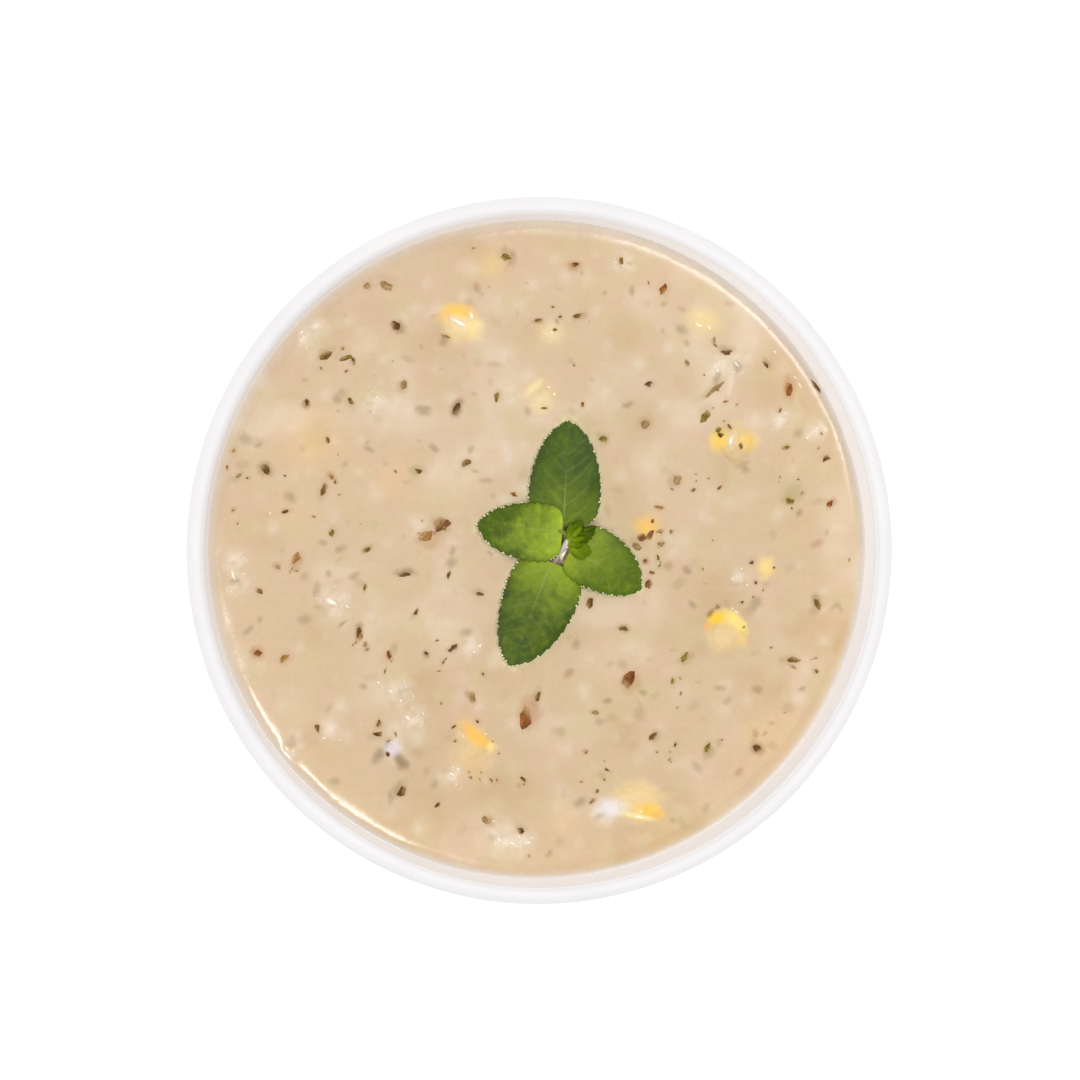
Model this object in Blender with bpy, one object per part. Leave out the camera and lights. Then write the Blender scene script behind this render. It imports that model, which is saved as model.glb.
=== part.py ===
"""Corn chowder in a white paper soup bowl, with the tip of a mint sprig laid on it.

Lengths are in metres and +Z is up. The origin is at the middle of the bowl's foot,
on the surface that the bowl stands on. +X is to the right and +Y is away from
someone who leans over the bowl.
"""

import math
import random

import bmesh
import bpy
from mathutils import Matrix, Vector, geometry

MM = 0.001
FIT_GAP = 0.3 * MM
ROUND_SEGMENTS = 60

# Bowl: one wall of card that leans out, rolled over at the rim, on a recessed floor
RIM_OUTER_RADIUS = 58.5 * MM
RIM_ROLL_RADIUS = 1.5 * MM
BOWL_HEIGHT = 68.0 * MM
WALL_LEAN = 0.125
WALL_THICKNESS = 0.8 * MM
FLOOR_UNDERSIDE = 6.0 * MM
FLOOR_THICKNESS = 1.2 * MM
FLOOR_CORNER = 1.0 * MM
FOOT_WIDTH = 1.6 * MM
FOOT_EDGE = 0.3 * MM
ROLL_STEPS = 11

# Soup
SOUP_LEVEL = 60.2 * MM
MENISCUS_RISE = 1.0 * MM
MENISCUS_REACH = 1.4 * MM
SURFACE_STEP = 2.9 * MM
SURFACE_JITTER = 0.35 * MM
SWELL = 0.07 * MM
LUMP_SLOPE = 0.16

# Lumps of potato just under the surface: x, y and radius in mm
LUMPS = (
    (-37.5, 36.0, 2.2),
    (-27.5, 24.5, 1.9),
    (-50.5, -1.5, 1.9),
    (-50.0, -5.5, 1.7),
    (-34.0, -8.5, 2.6),
    (-23.5, -23.5, 2.4),
    (-20.5, -28.0, 2.1),
    (-34.5, -30.0, 1.9),
    (-40.5, -32.5, 1.7),
    (-24.2, -33.2, 2.0),
    (-14.0, -37.5, 1.8),
    (-6.0, -48.0, 2.5),
    (-2.5, -49.0, 2.1),
    (-11.0, -16.0, 1.8),
    (46.5, 19.5, 1.8),
    (40.5, 21.5, 1.7),
    (30.0, 30.0, 1.6),
    (34.0, 31.0, 1.6),
    (14.0, 47.5, 1.6),
    (33.5, -5.0, 1.5),
    (11.0, -43.8, 2.0),
)

# Corn kernels: x and y in mm, the way the crown points and its rise in degrees,
# the size against a full kernel, and how far the top stands out of the soup in mm
KERNEL_LENGTH = 9.0 * MM
KERNEL_WIDTH = 7.6 * MM
KERNEL_THICKNESS = 5.2 * MM
KERNEL_SQUARENESS = 0.7
KERNEL_SEGMENTS = 12
KERNEL_RINGS = 8
KERNELS = (
    (-12.9, 36.8, 85, 3, 0.98, 0.50),
    (1.3, 35.0, 60, 8, 0.86, 0.15),
    (0.8, 26.1, 200, 3, 0.98, 0.35),
    (26.5, 37.3, 20, 6, 0.92, 0.20),
    (33.1, 17.2, 100, 4, 1.00, 0.65),
    (20.1, 5.4, 220, 9, 0.90, 0.18),
    (37.9, -4.8, 80, 12, 0.84, 0.20),
    (31.2, -14.6, 60, 4, 1.04, 0.60),
    (-12.1, -33.3, 47, 7, 0.92, 0.32),
    (16.2, -42.2, -8, 0, 1.12, 0.75),
)

# Flakes of herb and spice that stand out: x, y, length and width in mm, turn in degrees
FLAKE_THICKNESS = 0.5 * MM
FLAKE_PROUD = 0.2 * MM
FLAKE_TILT = 4.0
LARGE_FLAKES = (
    (-2.1, -28.1, 4.2, 2.5, 88),
    (15.3, -21.9, 3.2, 2.4, 63),
    (-16.0, 4.2, 3.4, 2.4, 36),
    (-18.7, 2.3, 3.3, 2.2, 10),
    (42.0, 26.8, 3.1, 1.5, 88),
    (29.8, 26.9, 4.5, 0.9, 41),
    (28.0, 22.2, 2.6, 1.4, 59),
    (-25.2, 43.8, 2.7, 1.8, -19),
    (-28.4, 44.0, 1.7, 1.3, 10),
    (-35.7, 10.0, 3.3, 1.1, 76),
    (-45.2, 13.4, 2.2, 1.6, -40),
    (-13.5, 23.6, 2.6, 1.2, 67),
    (-22.7, -40.0, 2.4, 1.5, 59),
    (16.4, 0.4, 2.0, 1.5, -38),
    (8.6, -8.9, 2.0, 1.3, 80),
    (-35.2, 32.4, 2.5, 1.3, 29),
    (-32.0, 31.9, 2.4, 1.0, 18),
    (-23.7, 37.3, 2.0, 1.4, -35),
    (-46.7, -17.1, 1.9, 1.5, -29),
    (-42.2, -17.9, 2.1, 1.2, 37),
    (18.5, -5.7, 1.9, 1.4, 54),
    (42.9, -18.6, 2.5, 1.1, 0),
    (-29.8, -13.7, 2.8, 0.9, 83),
    (-40.2, -1.2, 2.2, 1.3, 57),
    (42.2, 7.9, 2.0, 1.3, -13),
    (-0.1, -24.6, 2.3, 1.0, 78),
    (-26.7, -30.6, 2.1, 1.1, -3),
    (18.0, 20.9, 2.2, 1.9, 28),
    (23.3, 11.7, 1.9, 1.7, 9),
    (-22.3, -4.0, 2.4, 0.9, 6),
)
SMALL_FLAKES = 46
SMALL_FLAKE_SPACING = 6.0 * MM
FLAKE_MARGIN = 0.9 * MM
FLAKE_WALL_GAP = 2.0 * MM
FLAKE_SEED = 41

# Mint leaves: base, tip, widths to the left and right of the way to the tip, then the
# heights over the soup at the base, between and at the tip, and the droop of the edges
LEAF_THICKNESS = 0.4 * MM
LEAF_BASE_POWER = 0.2
LEAF_TIP_POWER = 0.5
LEAF_TIP_POINT = 0.25
LEAF_RIPPLE = 0.06 * MM
LEAVES = {
    "far": ((4.1, 4.2), (5.1, 21.7), (6.0, 6.0), (1.45, 1.75, 0.7), 0.75),
    "near": ((2.1, -2.0), (-4.9, -19.4), (6.8, 5.6), (1.5, 1.75, 0.7), 0.75),
    "left": ((3.8, 3.2), (-10.4, 4.2), (5.4, 4.4), (2.4, 2.2, 0.7), 0.65),
    "right": ((5.3, 0.2), (17.3, -6.7), (5.7, 4.4), (2.3, 2.1, 0.7), 0.65),
}
BUD_LEAVES = {
    "upper": ((5.2, 1.5), (9.3, 3.5), (1.5, 1.5), (2.2, 3.6, 2.7), 0.35),
    "lower": ((5.2, 0.9), (8.6, -0.6), (1.4, 1.4), (2.2, 3.3, 2.7), 0.3),
}
LEAF_ROWS = (0.004, 0.03, 0.09, 0.18, 0.3, 0.43, 0.57, 0.7, 0.82, 0.92, 0.975)
LEAF_COLUMNS = 6
BUD_ROWS = (0.01, 0.12, 0.35, 0.6, 0.85)
BUD_COLUMNS = 4

# Stem and leaf stalks: the points they run through, as x, y and height over the soup
STEM_RADIUS = 0.7 * MM
STALK_RADIUS = 0.45 * MM
STEM_PATH = ((1.9, -3.2, 1.2), (2.8, -1.8, 1.2), (4.0, 0.2, 1.6), (5.1, 1.9, 2.1))
FAR_STALK = ((2.9, -1.5, 1.25), (3.4, 1.2, 1.3), (4.1, 5.2, 1.45))
LEFT_STALK = ((5.1, 1.8, 2.1), (4.4, 2.7, 2.2), (3.2, 3.3, 2.3))
RIGHT_STALK = ((4.9, 1.6, 2.1), (5.4, 0.6, 2.2), (6.2, -0.3, 2.25))
TUBE_SIDES = 8

# Colours as they are named in picture editors, from 0 to 255
CARD_WHITE = (247, 245, 246)
SOUP_CREAM = (222, 197, 162)
CORN_YELLOW = (252, 216, 112)
MINT_GREEN = (104, 132, 46)


def linear(channel):
    """The light that a picture's 0 to 255 value stands for."""
    share = channel / 255
    return share / 12.92 if share <= 0.04045 else ((share + 0.055) / 1.055) ** 2.4


def material(name, colour, roughness):
    made = bpy.data.materials.new(name)
    made.use_nodes = True
    shader = made.node_tree.nodes["Principled BSDF"]
    shader.inputs["Base Color"].default_value = (*map(linear, colour), 1)
    shader.inputs["Roughness"].default_value = roughness
    shader.inputs["Metallic"].default_value = 0
    return made


def add_object(name, bm, finish=None):
    """Turns the bmesh into an object in the scene, with its faces pointing out."""
    bmesh.ops.recalc_face_normals(bm, faces=bm.faces)
    mesh = bpy.data.meshes.new(name)
    bm.to_mesh(mesh)
    bm.free()
    made = bpy.data.objects.new(name, mesh)
    bpy.context.scene.collection.objects.link(made)
    if finish:
        mesh.materials.append(finish)
        mesh.shade_smooth()
        mesh.set_sharp_from_angle(angle=math.radians(40))
    return made


def apply_boolean(target, operation, others):
    """Cuts the other objects out of the target, or joins them to it, and removes them."""
    group = bpy.data.collections.new(operation.lower())
    bpy.context.scene.collection.children.link(group)
    for other in others:
        group.objects.link(other)
    step = target.modifiers.new(operation.lower(), "BOOLEAN")
    step.operation = operation
    step.operand_type = "COLLECTION"
    step.collection = group
    step.solver = "EXACT"
    depsgraph = bpy.context.evaluated_depsgraph_get()
    result = bpy.data.meshes.new_from_object(target.evaluated_get(depsgraph))
    target.modifiers.remove(step)
    result.name = target.name
    target.data = result
    for other in others:
        bpy.data.objects.remove(other)
    bpy.data.collections.remove(group)


def wall_inside(z):
    """Radius of the bowl's inner face at a height."""
    roll_centre = BOWL_HEIGHT - RIM_ROLL_RADIUS
    return RIM_OUTER_RADIUS - 2 * RIM_ROLL_RADIUS - (roll_centre - z) * WALL_LEAN


def bowl_profile():
    """Radius and height from the floor's underside, up the outside and down the inside."""
    foot = wall_inside(0) + WALL_THICKNESS
    points = [
        (0, FLOOR_UNDERSIDE),
        (foot - FOOT_WIDTH, FLOOR_UNDERSIDE),
        (foot - FOOT_WIDTH, FOOT_EDGE),
        (foot - FOOT_WIDTH + FOOT_EDGE, 0),
        (foot - FOOT_EDGE, 0),
        (foot + FOOT_EDGE * WALL_LEAN, FOOT_EDGE),
    ]
    centre = Vector((RIM_OUTER_RADIUS - RIM_ROLL_RADIUS, BOWL_HEIGHT - RIM_ROLL_RADIUS))
    roll_start, roll_end = math.radians(-125), math.radians(180)
    for step in range(ROLL_STEPS + 1):
        angle = roll_start + (roll_end - roll_start) * step / ROLL_STEPS
        points.append(
            (
                centre.x + RIM_ROLL_RADIUS * math.cos(angle),
                centre.y + RIM_ROLL_RADIUS * math.sin(angle),
            )
        )
    floor_top = FLOOR_UNDERSIDE + FLOOR_THICKNESS
    corner = wall_inside(floor_top + FLOOR_CORNER)
    points.append((corner, floor_top + FLOOR_CORNER))
    points.append((corner - FLOOR_CORNER, floor_top))
    points.append((0, floor_top))
    return points


def build_bowl():
    bm = bmesh.new()
    line = [bm.verts.new((radius, 0, z)) for radius, z in bowl_profile()]
    edges = [bm.edges.new(pair) for pair in zip(line, line[1:])]
    bmesh.ops.spin(
        bm,
        geom=line + edges,
        cent=(0, 0, 0),
        axis=(0, 0, 1),
        angle=math.tau,
        steps=ROUND_SEGMENTS,
        use_merge=True,
    )
    bmesh.ops.remove_doubles(bm, verts=bm.verts, dist=0.001 * MM)
    return add_object("bowl", bm, material("white_card", CARD_WHITE, 0.75))


def relief(x, y):
    """Height of the soup's surface over its level."""
    swell = math.sin(x / (7.3 * MM) + 0.4) * math.cos(y / (8.1 * MM) - 0.9)
    swell += 0.6 * math.sin(x / (3.9 * MM) - y / (4.7 * MM))
    height = SWELL * swell
    for lump_x, lump_y, radius in LUMPS:
        away = math.hypot(x / MM - lump_x, y / MM - lump_y) / radius
        height += LUMP_SLOPE * radius * MM * math.exp(-away * away)
    from_wall = wall_inside(SOUP_LEVEL) - math.hypot(x, y)
    return height + MENISCUS_RISE * math.exp(-from_wall / MENISCUS_REACH)


def ring(radius, count):
    turns = [math.tau * step / count for step in range(count)]
    return [Vector((radius * math.cos(turn), radius * math.sin(turn))) for turn in turns]


def surface_points(edge_radius):
    """Rings along the wall, seven points for each lump, and an uneven grid between them."""
    draw = random.Random(7)
    points = ring(edge_radius, ROUND_SEGMENTS)
    points += ring(edge_radius - MENISCUS_REACH, ROUND_SEGMENTS)
    points += ring(edge_radius - 2.2 * MENISCUS_REACH, ROUND_SEGMENTS)
    inner_limit = edge_radius - 3.3 * MENISCUS_REACH
    lump_points = []
    for lump_x, lump_y, radius in LUMPS:
        centre = Vector((lump_x, lump_y)) * MM
        around = [centre] + [centre + offset for offset in ring(radius * MM, 6)]
        lump_points += [point for point in around if point.length < inner_limit]
    points += lump_points
    row_step = SURFACE_STEP * math.sqrt(3) / 2
    rows = math.ceil(edge_radius / row_step)
    columns = math.ceil(edge_radius / SURFACE_STEP)
    for row in range(-rows, rows + 1):
        for column in range(-columns, columns + 1):
            x = (column + 0.5 * (row % 2)) * SURFACE_STEP
            jitter = Vector((draw.uniform(-1, 1), draw.uniform(-1, 1))) * SURFACE_JITTER
            point = Vector((x, row * row_step)) + jitter
            crowded = any((point - other).length < 0.5 * SURFACE_STEP for other in lump_points)
            if point.length < inner_limit and not crowded:
                points.append(point)
    return points


def soup_body():
    """The soup without what floats in it: a lively top, a smooth side and a flat bottom."""
    edge_radius = wall_inside(SOUP_LEVEL) - FIT_GAP
    flat = geometry.delaunay_2d_cdt(surface_points(edge_radius), [], [], 0, 0.001 * MM)
    bm = bmesh.new()
    top = [bm.verts.new((p.x, p.y, SOUP_LEVEL + relief(p.x, p.y))) for p in flat[0]]
    for face in flat[2]:
        bm.faces.new([top[index] for index in face])
    floor_top = FLOOR_UNDERSIDE + FLOOR_THICKNESS
    chamfer = FLOOR_CORNER + FIT_GAP
    low = floor_top + FIT_GAP
    wall_foot = wall_inside(low + chamfer) - FIT_GAP
    edges = [edge for edge in bm.edges if edge.is_boundary]
    for radius, z in ((wall_foot, low + chamfer), (wall_foot - chamfer, low)):
        grown = bmesh.ops.extrude_edge_only(bm, edges=edges)["geom"]
        for vert in (part for part in grown if isinstance(part, bmesh.types.BMVert)):
            outward = Vector((vert.co.x, vert.co.y, 0)).normalized()
            vert.co = outward * radius + Vector((0, 0, z))
        edges = [part for part in grown if isinstance(part, bmesh.types.BMEdge)]
    bmesh.ops.holes_fill(bm, edges=edges)
    return add_object("soup", bm, material("chowder", SOUP_CREAM, 0.3))


def kernel_mesh(scale, grow):
    """A kernel along X: a broad dented crown at +X and a narrow tip at -X."""
    bm = bmesh.new()
    bmesh.ops.create_uvsphere(
        bm, u_segments=KERNEL_SEGMENTS, v_segments=KERNEL_RINGS, radius=1
    )
    half = Vector((KERNEL_LENGTH, KERNEL_WIDTH, KERNEL_THICKNESS)) * scale / 2
    for vert in bm.verts:
        out = max(math.hypot(vert.co.x, vert.co.y), 0.001)
        flatten = out ** (KERNEL_SQUARENESS - 1)
        along, across = vert.co.x * flatten, vert.co.y * flatten
        up = math.copysign(abs(vert.co.z) ** KERNEL_SQUARENESS, vert.co.z)
        taper = 0.45 + 0.55 * min(1, (along + 1) / 1.2) ** 0.7
        crown = max(0, along)
        dent = 0.22 * crown * math.exp(-((across / 0.3) ** 2))
        vert.co.x = (half.x + grow) * (along - 0.12 * crown * crown)
        vert.co.y = (half.y + grow) * across * taper
        vert.co.z = (half.z + grow) * up * (0.75 + 0.25 * taper) * (1 - dent)
    return bm


def kernel_matrix(x, y, turn, rise, scale, proud):
    """Turns and tilts a kernel, and sinks it until its top is that far out of the soup."""
    rotation = Matrix.Rotation(math.radians(turn), 4, "Z")
    rotation @= Matrix.Rotation(-math.radians(rise), 4, "Y")
    bm = kernel_mesh(scale, 0)
    highest = max((rotation @ vert.co).z for vert in bm.verts)
    bm.free()
    z = SOUP_LEVEL + proud * MM - highest
    return Matrix.Translation((x * MM, y * MM, z)) @ rotation


def build_kernels():
    """The kernels, and the sockets that they sit in, to be cut out of the soup."""
    finish = material("sweet_corn", CORN_YELLOW, 0.3)
    sockets = []
    for number, kernel in enumerate(KERNELS, 1):
        place = kernel_matrix(*kernel)
        made = add_object(f"corn_kernel_{number:02d}", kernel_mesh(kernel[4], 0), finish)
        made.matrix_world = place
        socket = add_object(f"socket_{number:02d}", kernel_mesh(kernel[4], FIT_GAP))
        socket.matrix_world = place
        sockets.append(socket)
    return sockets


def leaf_width(t):
    """Share of the full half width, from the blunt base at 0 to the point at 1."""
    peak = LEAF_BASE_POWER / (LEAF_BASE_POWER + LEAF_TIP_POWER)
    widest = peak**LEAF_BASE_POWER * (1 - peak) ** LEAF_TIP_POWER
    pointed = 1 - LEAF_TIP_POINT * t**8
    return pointed * t**LEAF_BASE_POWER * (1 - t) ** LEAF_TIP_POWER / widest


def leaf_point(leaf, t, side):
    """A point on the leaf's middle: t runs from base to tip, side from -1 right to 1 left."""
    base, tip, widths, heights, droop = leaf
    line = Vector(tip) - Vector(base)
    left = Vector((-line.y, line.x)).normalized()
    half_width = widths[0] if side > 0 else widths[1]
    flat = Vector(base) + line * t + left * side * half_width * leaf_width(t)
    arch = heights[0] * (1 - t) ** 2 + 2 * heights[1] * t * (1 - t) + heights[2] * t * t
    arch -= droop * (side * leaf_width(t)) ** 2
    ripple = LEAF_RIPPLE * math.sin(9 * t + 4 * side) * abs(side)
    return Vector((flat.x * MM, flat.y * MM, SOUP_LEVEL + arch * MM + ripple))


def leaf_mesh(leaf, rows, columns):
    """A thin closed leaf whose upper and lower faces are split into triangles alike."""
    bm = bmesh.new()
    sheets = []
    for lift in (LEAF_THICKNESS / 2, -LEAF_THICKNESS / 2):
        up = Vector((0, 0, lift))
        grid = [[bm.verts.new(leaf_point(leaf, 0, 0) + up)]]
        for t in rows:
            sides = [2 * column / columns - 1 for column in range(columns + 1)]
            grid.append([bm.verts.new(leaf_point(leaf, t, side) + up) for side in sides])
        grid.append([bm.verts.new(leaf_point(leaf, 1, 0) + up)])
        for near, far in zip(grid, grid[1:]):
            for column in range(columns):
                if len(near) == 1:
                    bm.faces.new((near[0], far[column], far[column + 1]))
                elif len(far) == 1:
                    bm.faces.new((near[column], near[column + 1], far[0]))
                else:
                    bm.faces.new((near[column], near[column + 1], far[column + 1]))
                    bm.faces.new((near[column], far[column + 1], far[column]))
        outline = [row[0] for row in grid] + [row[-1] for row in grid[-2:0:-1]]
        sheets.append(outline)
    upper, lower = sheets
    for index, corner in enumerate(upper):
        after = (index + 1) % len(upper)
        bm.faces.new((corner, upper[after], lower[after]))
        bm.faces.new((corner, lower[after], lower[index]))
    return bm


def tube_mesh(path, radius):
    """A round stalk through the path's points, with flat ends."""
    points = [Vector((x * MM, y * MM, SOUP_LEVEL + height * MM)) for x, y, height in path]
    bm = bmesh.new()
    rings = []
    for index, point in enumerate(points):
        before = points[max(0, index - 1)]
        after = points[min(len(points) - 1, index + 1)]
        turn = (after - before).to_track_quat("Z", "X")
        offsets = [turn @ Vector((*offset, 0)) for offset in ring(radius, TUBE_SIDES)]
        rings.append([bm.verts.new(point + offset) for offset in offsets])
    for low, high in zip(rings, rings[1:]):
        for side in range(TUBE_SIDES):
            after = (side + 1) % TUBE_SIDES
            bm.faces.new((low[side], low[after], high[after], high[side]))
    bm.faces.new(rings[0])
    bm.faces.new(rings[-1])
    return bm


def build_sprig():
    stem = add_object(
        "mint_sprig", tube_mesh(STEM_PATH, STEM_RADIUS), material("mint", MINT_GREEN, 0.5)
    )
    parts = [
        add_object(f"leaf_{name}", leaf_mesh(leaf, LEAF_ROWS, LEAF_COLUMNS))
        for name, leaf in LEAVES.items()
    ]
    parts += [
        add_object(f"bud_{name}", leaf_mesh(leaf, BUD_ROWS, BUD_COLUMNS))
        for name, leaf in BUD_LEAVES.items()
    ]
    parts += [
        add_object(f"stalk_{index}", tube_mesh(path, STALK_RADIUS))
        for index, path in enumerate((FAR_STALK, LEFT_STALK, RIGHT_STALK))
    ]
    apply_boolean(stem, "UNION", parts)


def under_leaf(x, y, margin):
    """True if the place, in mm, is under a leaf or closer than the margin to its outline."""
    for base, tip, widths, _, _ in LEAVES.values():
        line = Vector(tip) - Vector(base)
        offset = Vector((x, y)) - Vector(base)
        along = offset.dot(line) / line.length
        across = offset.dot(Vector((-line.y, line.x))) / line.length
        t = min(max(along / line.length, 0.02), 0.98)
        half_width = (widths[0] if across > 0 else widths[1]) * leaf_width(t)
        if -margin < along < line.length + margin and abs(across) < half_width + margin:
            return True
    return False


def flake_fits(x, y, length, placed):
    """Keeps a flake, in mm, clear of the wall, the mint, the kernels and other flakes."""
    reach = length / 2 + FLAKE_MARGIN / MM
    if math.hypot(x, y) > (wall_inside(SOUP_LEVEL) - FLAKE_WALL_GAP) / MM - reach:
        return False
    if under_leaf(x, y, reach):
        return False
    for kernel in KERNELS:
        kernel_reach = 0.5 * KERNEL_LENGTH / MM * kernel[4]
        if math.hypot(x - kernel[0], y - kernel[1]) < kernel_reach + reach:
            return False
    spacing = SMALL_FLAKE_SPACING / MM
    return all(math.hypot(x - other[0], y - other[1]) > spacing for other in placed)


def flake_list():
    """The large flakes, then smaller ones spread evenly by a seeded draw."""
    flakes = list(LARGE_FLAKES)
    draw = random.Random(FLAKE_SEED)
    limit = wall_inside(SOUP_LEVEL) / MM
    while len(flakes) < len(LARGE_FLAKES) + SMALL_FLAKES:
        x, y = draw.uniform(-limit, limit), draw.uniform(-limit, limit)
        length = draw.uniform(1.2, 2.1)
        width = length * draw.uniform(0.4, 0.75)
        turn = draw.uniform(0, 180)
        if flake_fits(x, y, length, flakes):
            flakes.append((x, y, length, width, turn))
    return flakes


def flake_mesh(flake, draw):
    """A torn flat crumb with five or six corners, lying half in the soup."""
    x, y, length, width, turn = flake
    corners = draw.choice((5, 6))
    half = Vector((length, width)) * MM / 2
    lean = Vector((draw.uniform(-1, 1), draw.uniform(-1, 1))) * math.radians(FLAKE_TILT)
    outline = []
    for index, point in enumerate(ring(1, corners)):
        pull = draw.uniform(0.78, 1.12)
        outline.append(Vector((point.x * half.x, point.y * half.y)) * pull)
    bm = bmesh.new()
    rotation = Matrix.Rotation(math.radians(turn), 2)
    z = SOUP_LEVEL + relief(x * MM, y * MM) + FLAKE_PROUD
    loops = []
    for depth in (0, FLAKE_THICKNESS):
        verts = []
        for point in outline:
            place = rotation @ point
            tilt = place.dot(lean)
            verts.append(bm.verts.new((x * MM + place.x, y * MM + place.y, z + tilt - depth)))
        loops.append(verts)
        bm.faces.new(verts)
    upper, lower = loops
    for index in range(corners):
        after = (index + 1) % corners
        bm.faces.new((upper[index], upper[after], lower[after], lower[index]))
    return bm


def build_soup(sockets):
    soup = soup_body()
    apply_boolean(soup, "DIFFERENCE", sockets)
    draw = random.Random(FLAKE_SEED + 1)
    flakes = [
        add_object(f"flake_{index}", flake_mesh(flake, draw))
        for index, flake in enumerate(flake_list())
    ]
    apply_boolean(soup, "UNION", flakes)


def main():
    for old in list(bpy.data.objects):
        bpy.data.objects.remove(old)
    build_bowl()
    build_soup(build_kernels())
    build_sprig()


main()
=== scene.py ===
import math
import random

import bpy
import numpy as np
from mathutils import Matrix, Vector


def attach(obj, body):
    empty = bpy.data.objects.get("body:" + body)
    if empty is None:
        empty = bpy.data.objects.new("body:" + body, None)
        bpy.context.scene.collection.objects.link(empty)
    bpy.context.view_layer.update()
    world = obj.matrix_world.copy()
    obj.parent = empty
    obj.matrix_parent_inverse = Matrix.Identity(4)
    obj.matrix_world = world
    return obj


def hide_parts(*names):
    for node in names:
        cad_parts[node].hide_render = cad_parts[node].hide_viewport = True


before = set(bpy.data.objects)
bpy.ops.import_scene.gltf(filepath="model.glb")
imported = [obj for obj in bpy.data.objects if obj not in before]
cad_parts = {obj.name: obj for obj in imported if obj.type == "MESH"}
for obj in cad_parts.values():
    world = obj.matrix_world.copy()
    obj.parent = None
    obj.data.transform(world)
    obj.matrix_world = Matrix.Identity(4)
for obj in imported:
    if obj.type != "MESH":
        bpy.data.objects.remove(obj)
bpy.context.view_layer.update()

# Looks of the corn chowder: card bowl, soup, kernels, flakes and mint, over the fixed
# frame. Lengths in this script are in millimetres until a mesh is made from them.

MM = 0.001

# Sizes that the solids have
RIM_RADIUS = 58.5
ROLL_RADIUS = 1.5
BOWL_HEIGHT = 68.0
WALL_LEAN = 0.125
WALL_THICKNESS = 0.8
FLOOR_UNDERSIDE = 6.0
FLOOR_THICKNESS = 1.2
FOOT_WIDTH = 1.6
BOWL_SEGMENTS = 240
# The side seam: where its step and its fade lie round the bowl, in degrees, and its height
SEAM_STEP_TURNS = (-97.0, -96.0)
SEAM_FADE_TURNS = (-90.0, -84.0)
SEAM_HEIGHT = 0.22
SOUP_LEVEL = 60.2
MENISCUS_RISE = 1.0
MENISCUS_REACH = 1.4
MENISCUS_WAVE = 0.06
SWELL = 0.07
LUMP_SLOPE = 0.16
# Rings of the soup's mesh: the widest and narrowest gap, how the gap grows with the
# distance from the wall, and the widest step along a ring
RING_WIDEST = 0.43
RING_NARROWEST = 0.09
RING_GROWTH = 0.1
RING_STEP = 0.5
# Distances from the wall between which the shine goes over into that of the cream
SHINE_BAND = (1.0, 4.2)

# Lumps of potato just under the surface: x, y, radius
LUMPS = (
    (-37.5, 36.0, 2.2),
    (-27.5, 24.5, 1.9),
    (-50.5, -1.5, 1.9),
    (-50.0, -5.5, 1.7),
    (-34.0, -8.5, 2.6),
    (-23.5, -23.5, 2.4),
    (-20.5, -28.0, 2.1),
    (-34.5, -30.0, 1.9),
    (-40.5, -32.5, 1.7),
    (-24.2, -33.2, 2.0),
    (-14.0, -37.5, 1.8),
    (-6.0, -48.0, 2.5),
    (-2.5, -49.0, 2.1),
    (-11.0, -16.0, 1.8),
    (46.5, 19.5, 1.8),
    (40.5, 21.5, 1.7),
    (30.0, 30.0, 1.6),
    (34.0, 31.0, 1.6),
    (14.0, 47.5, 1.6),
    (33.5, -5.0, 1.5),
    (11.0, -43.8, 2.0),
)

# Kernels: x, y, the way the crown points and its rise in degrees, size, height out of
# the soup
KERNEL_HALF = (4.5, 3.8, 2.6)
KERNEL_SQUARENESS = 0.7
KERNEL_REACH = 7
KERNEL_PAINT_REACH = 9
KERNELS = (
    (-12.9, 36.8, 85, 3, 0.98, 0.50),
    (1.3, 35.0, 60, 8, 0.86, 0.15),
    (0.8, 26.1, 200, 3, 0.98, 0.35),
    (26.5, 37.3, 20, 6, 0.92, 0.20),
    (33.1, 17.2, 100, 4, 1.00, 0.65),
    (20.1, 5.4, 220, 9, 0.90, 0.18),
    (37.9, -4.8, 80, 12, 0.84, 0.20),
    (31.2, -14.6, 60, 4, 1.04, 0.60),
    (-12.1, -33.3, 47, 7, 0.92, 0.32),
    (16.2, -42.2, -8, 0, 1.12, 0.75),
)
# For each kernel: how strongly the yellow shows under the cream, how far from its middle
# the cream begins, and how soft its outline looks
KERNEL_COVER = (
    (0.60, -0.45, 0.45),
    (0.20, 0.10, 0.80),
    (0.30, -0.45, 0.70),
    (0.30, -0.25, 0.80),
    (0.42, -0.10, 0.70),
    (0.12, 0.25, 0.80),
    (0.16, 0.05, 0.80),
    (0.50, -0.30, 0.60),
    (0.28, 0.20, 0.80),
    (0.50, -2.00, 0.60),
)
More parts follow.
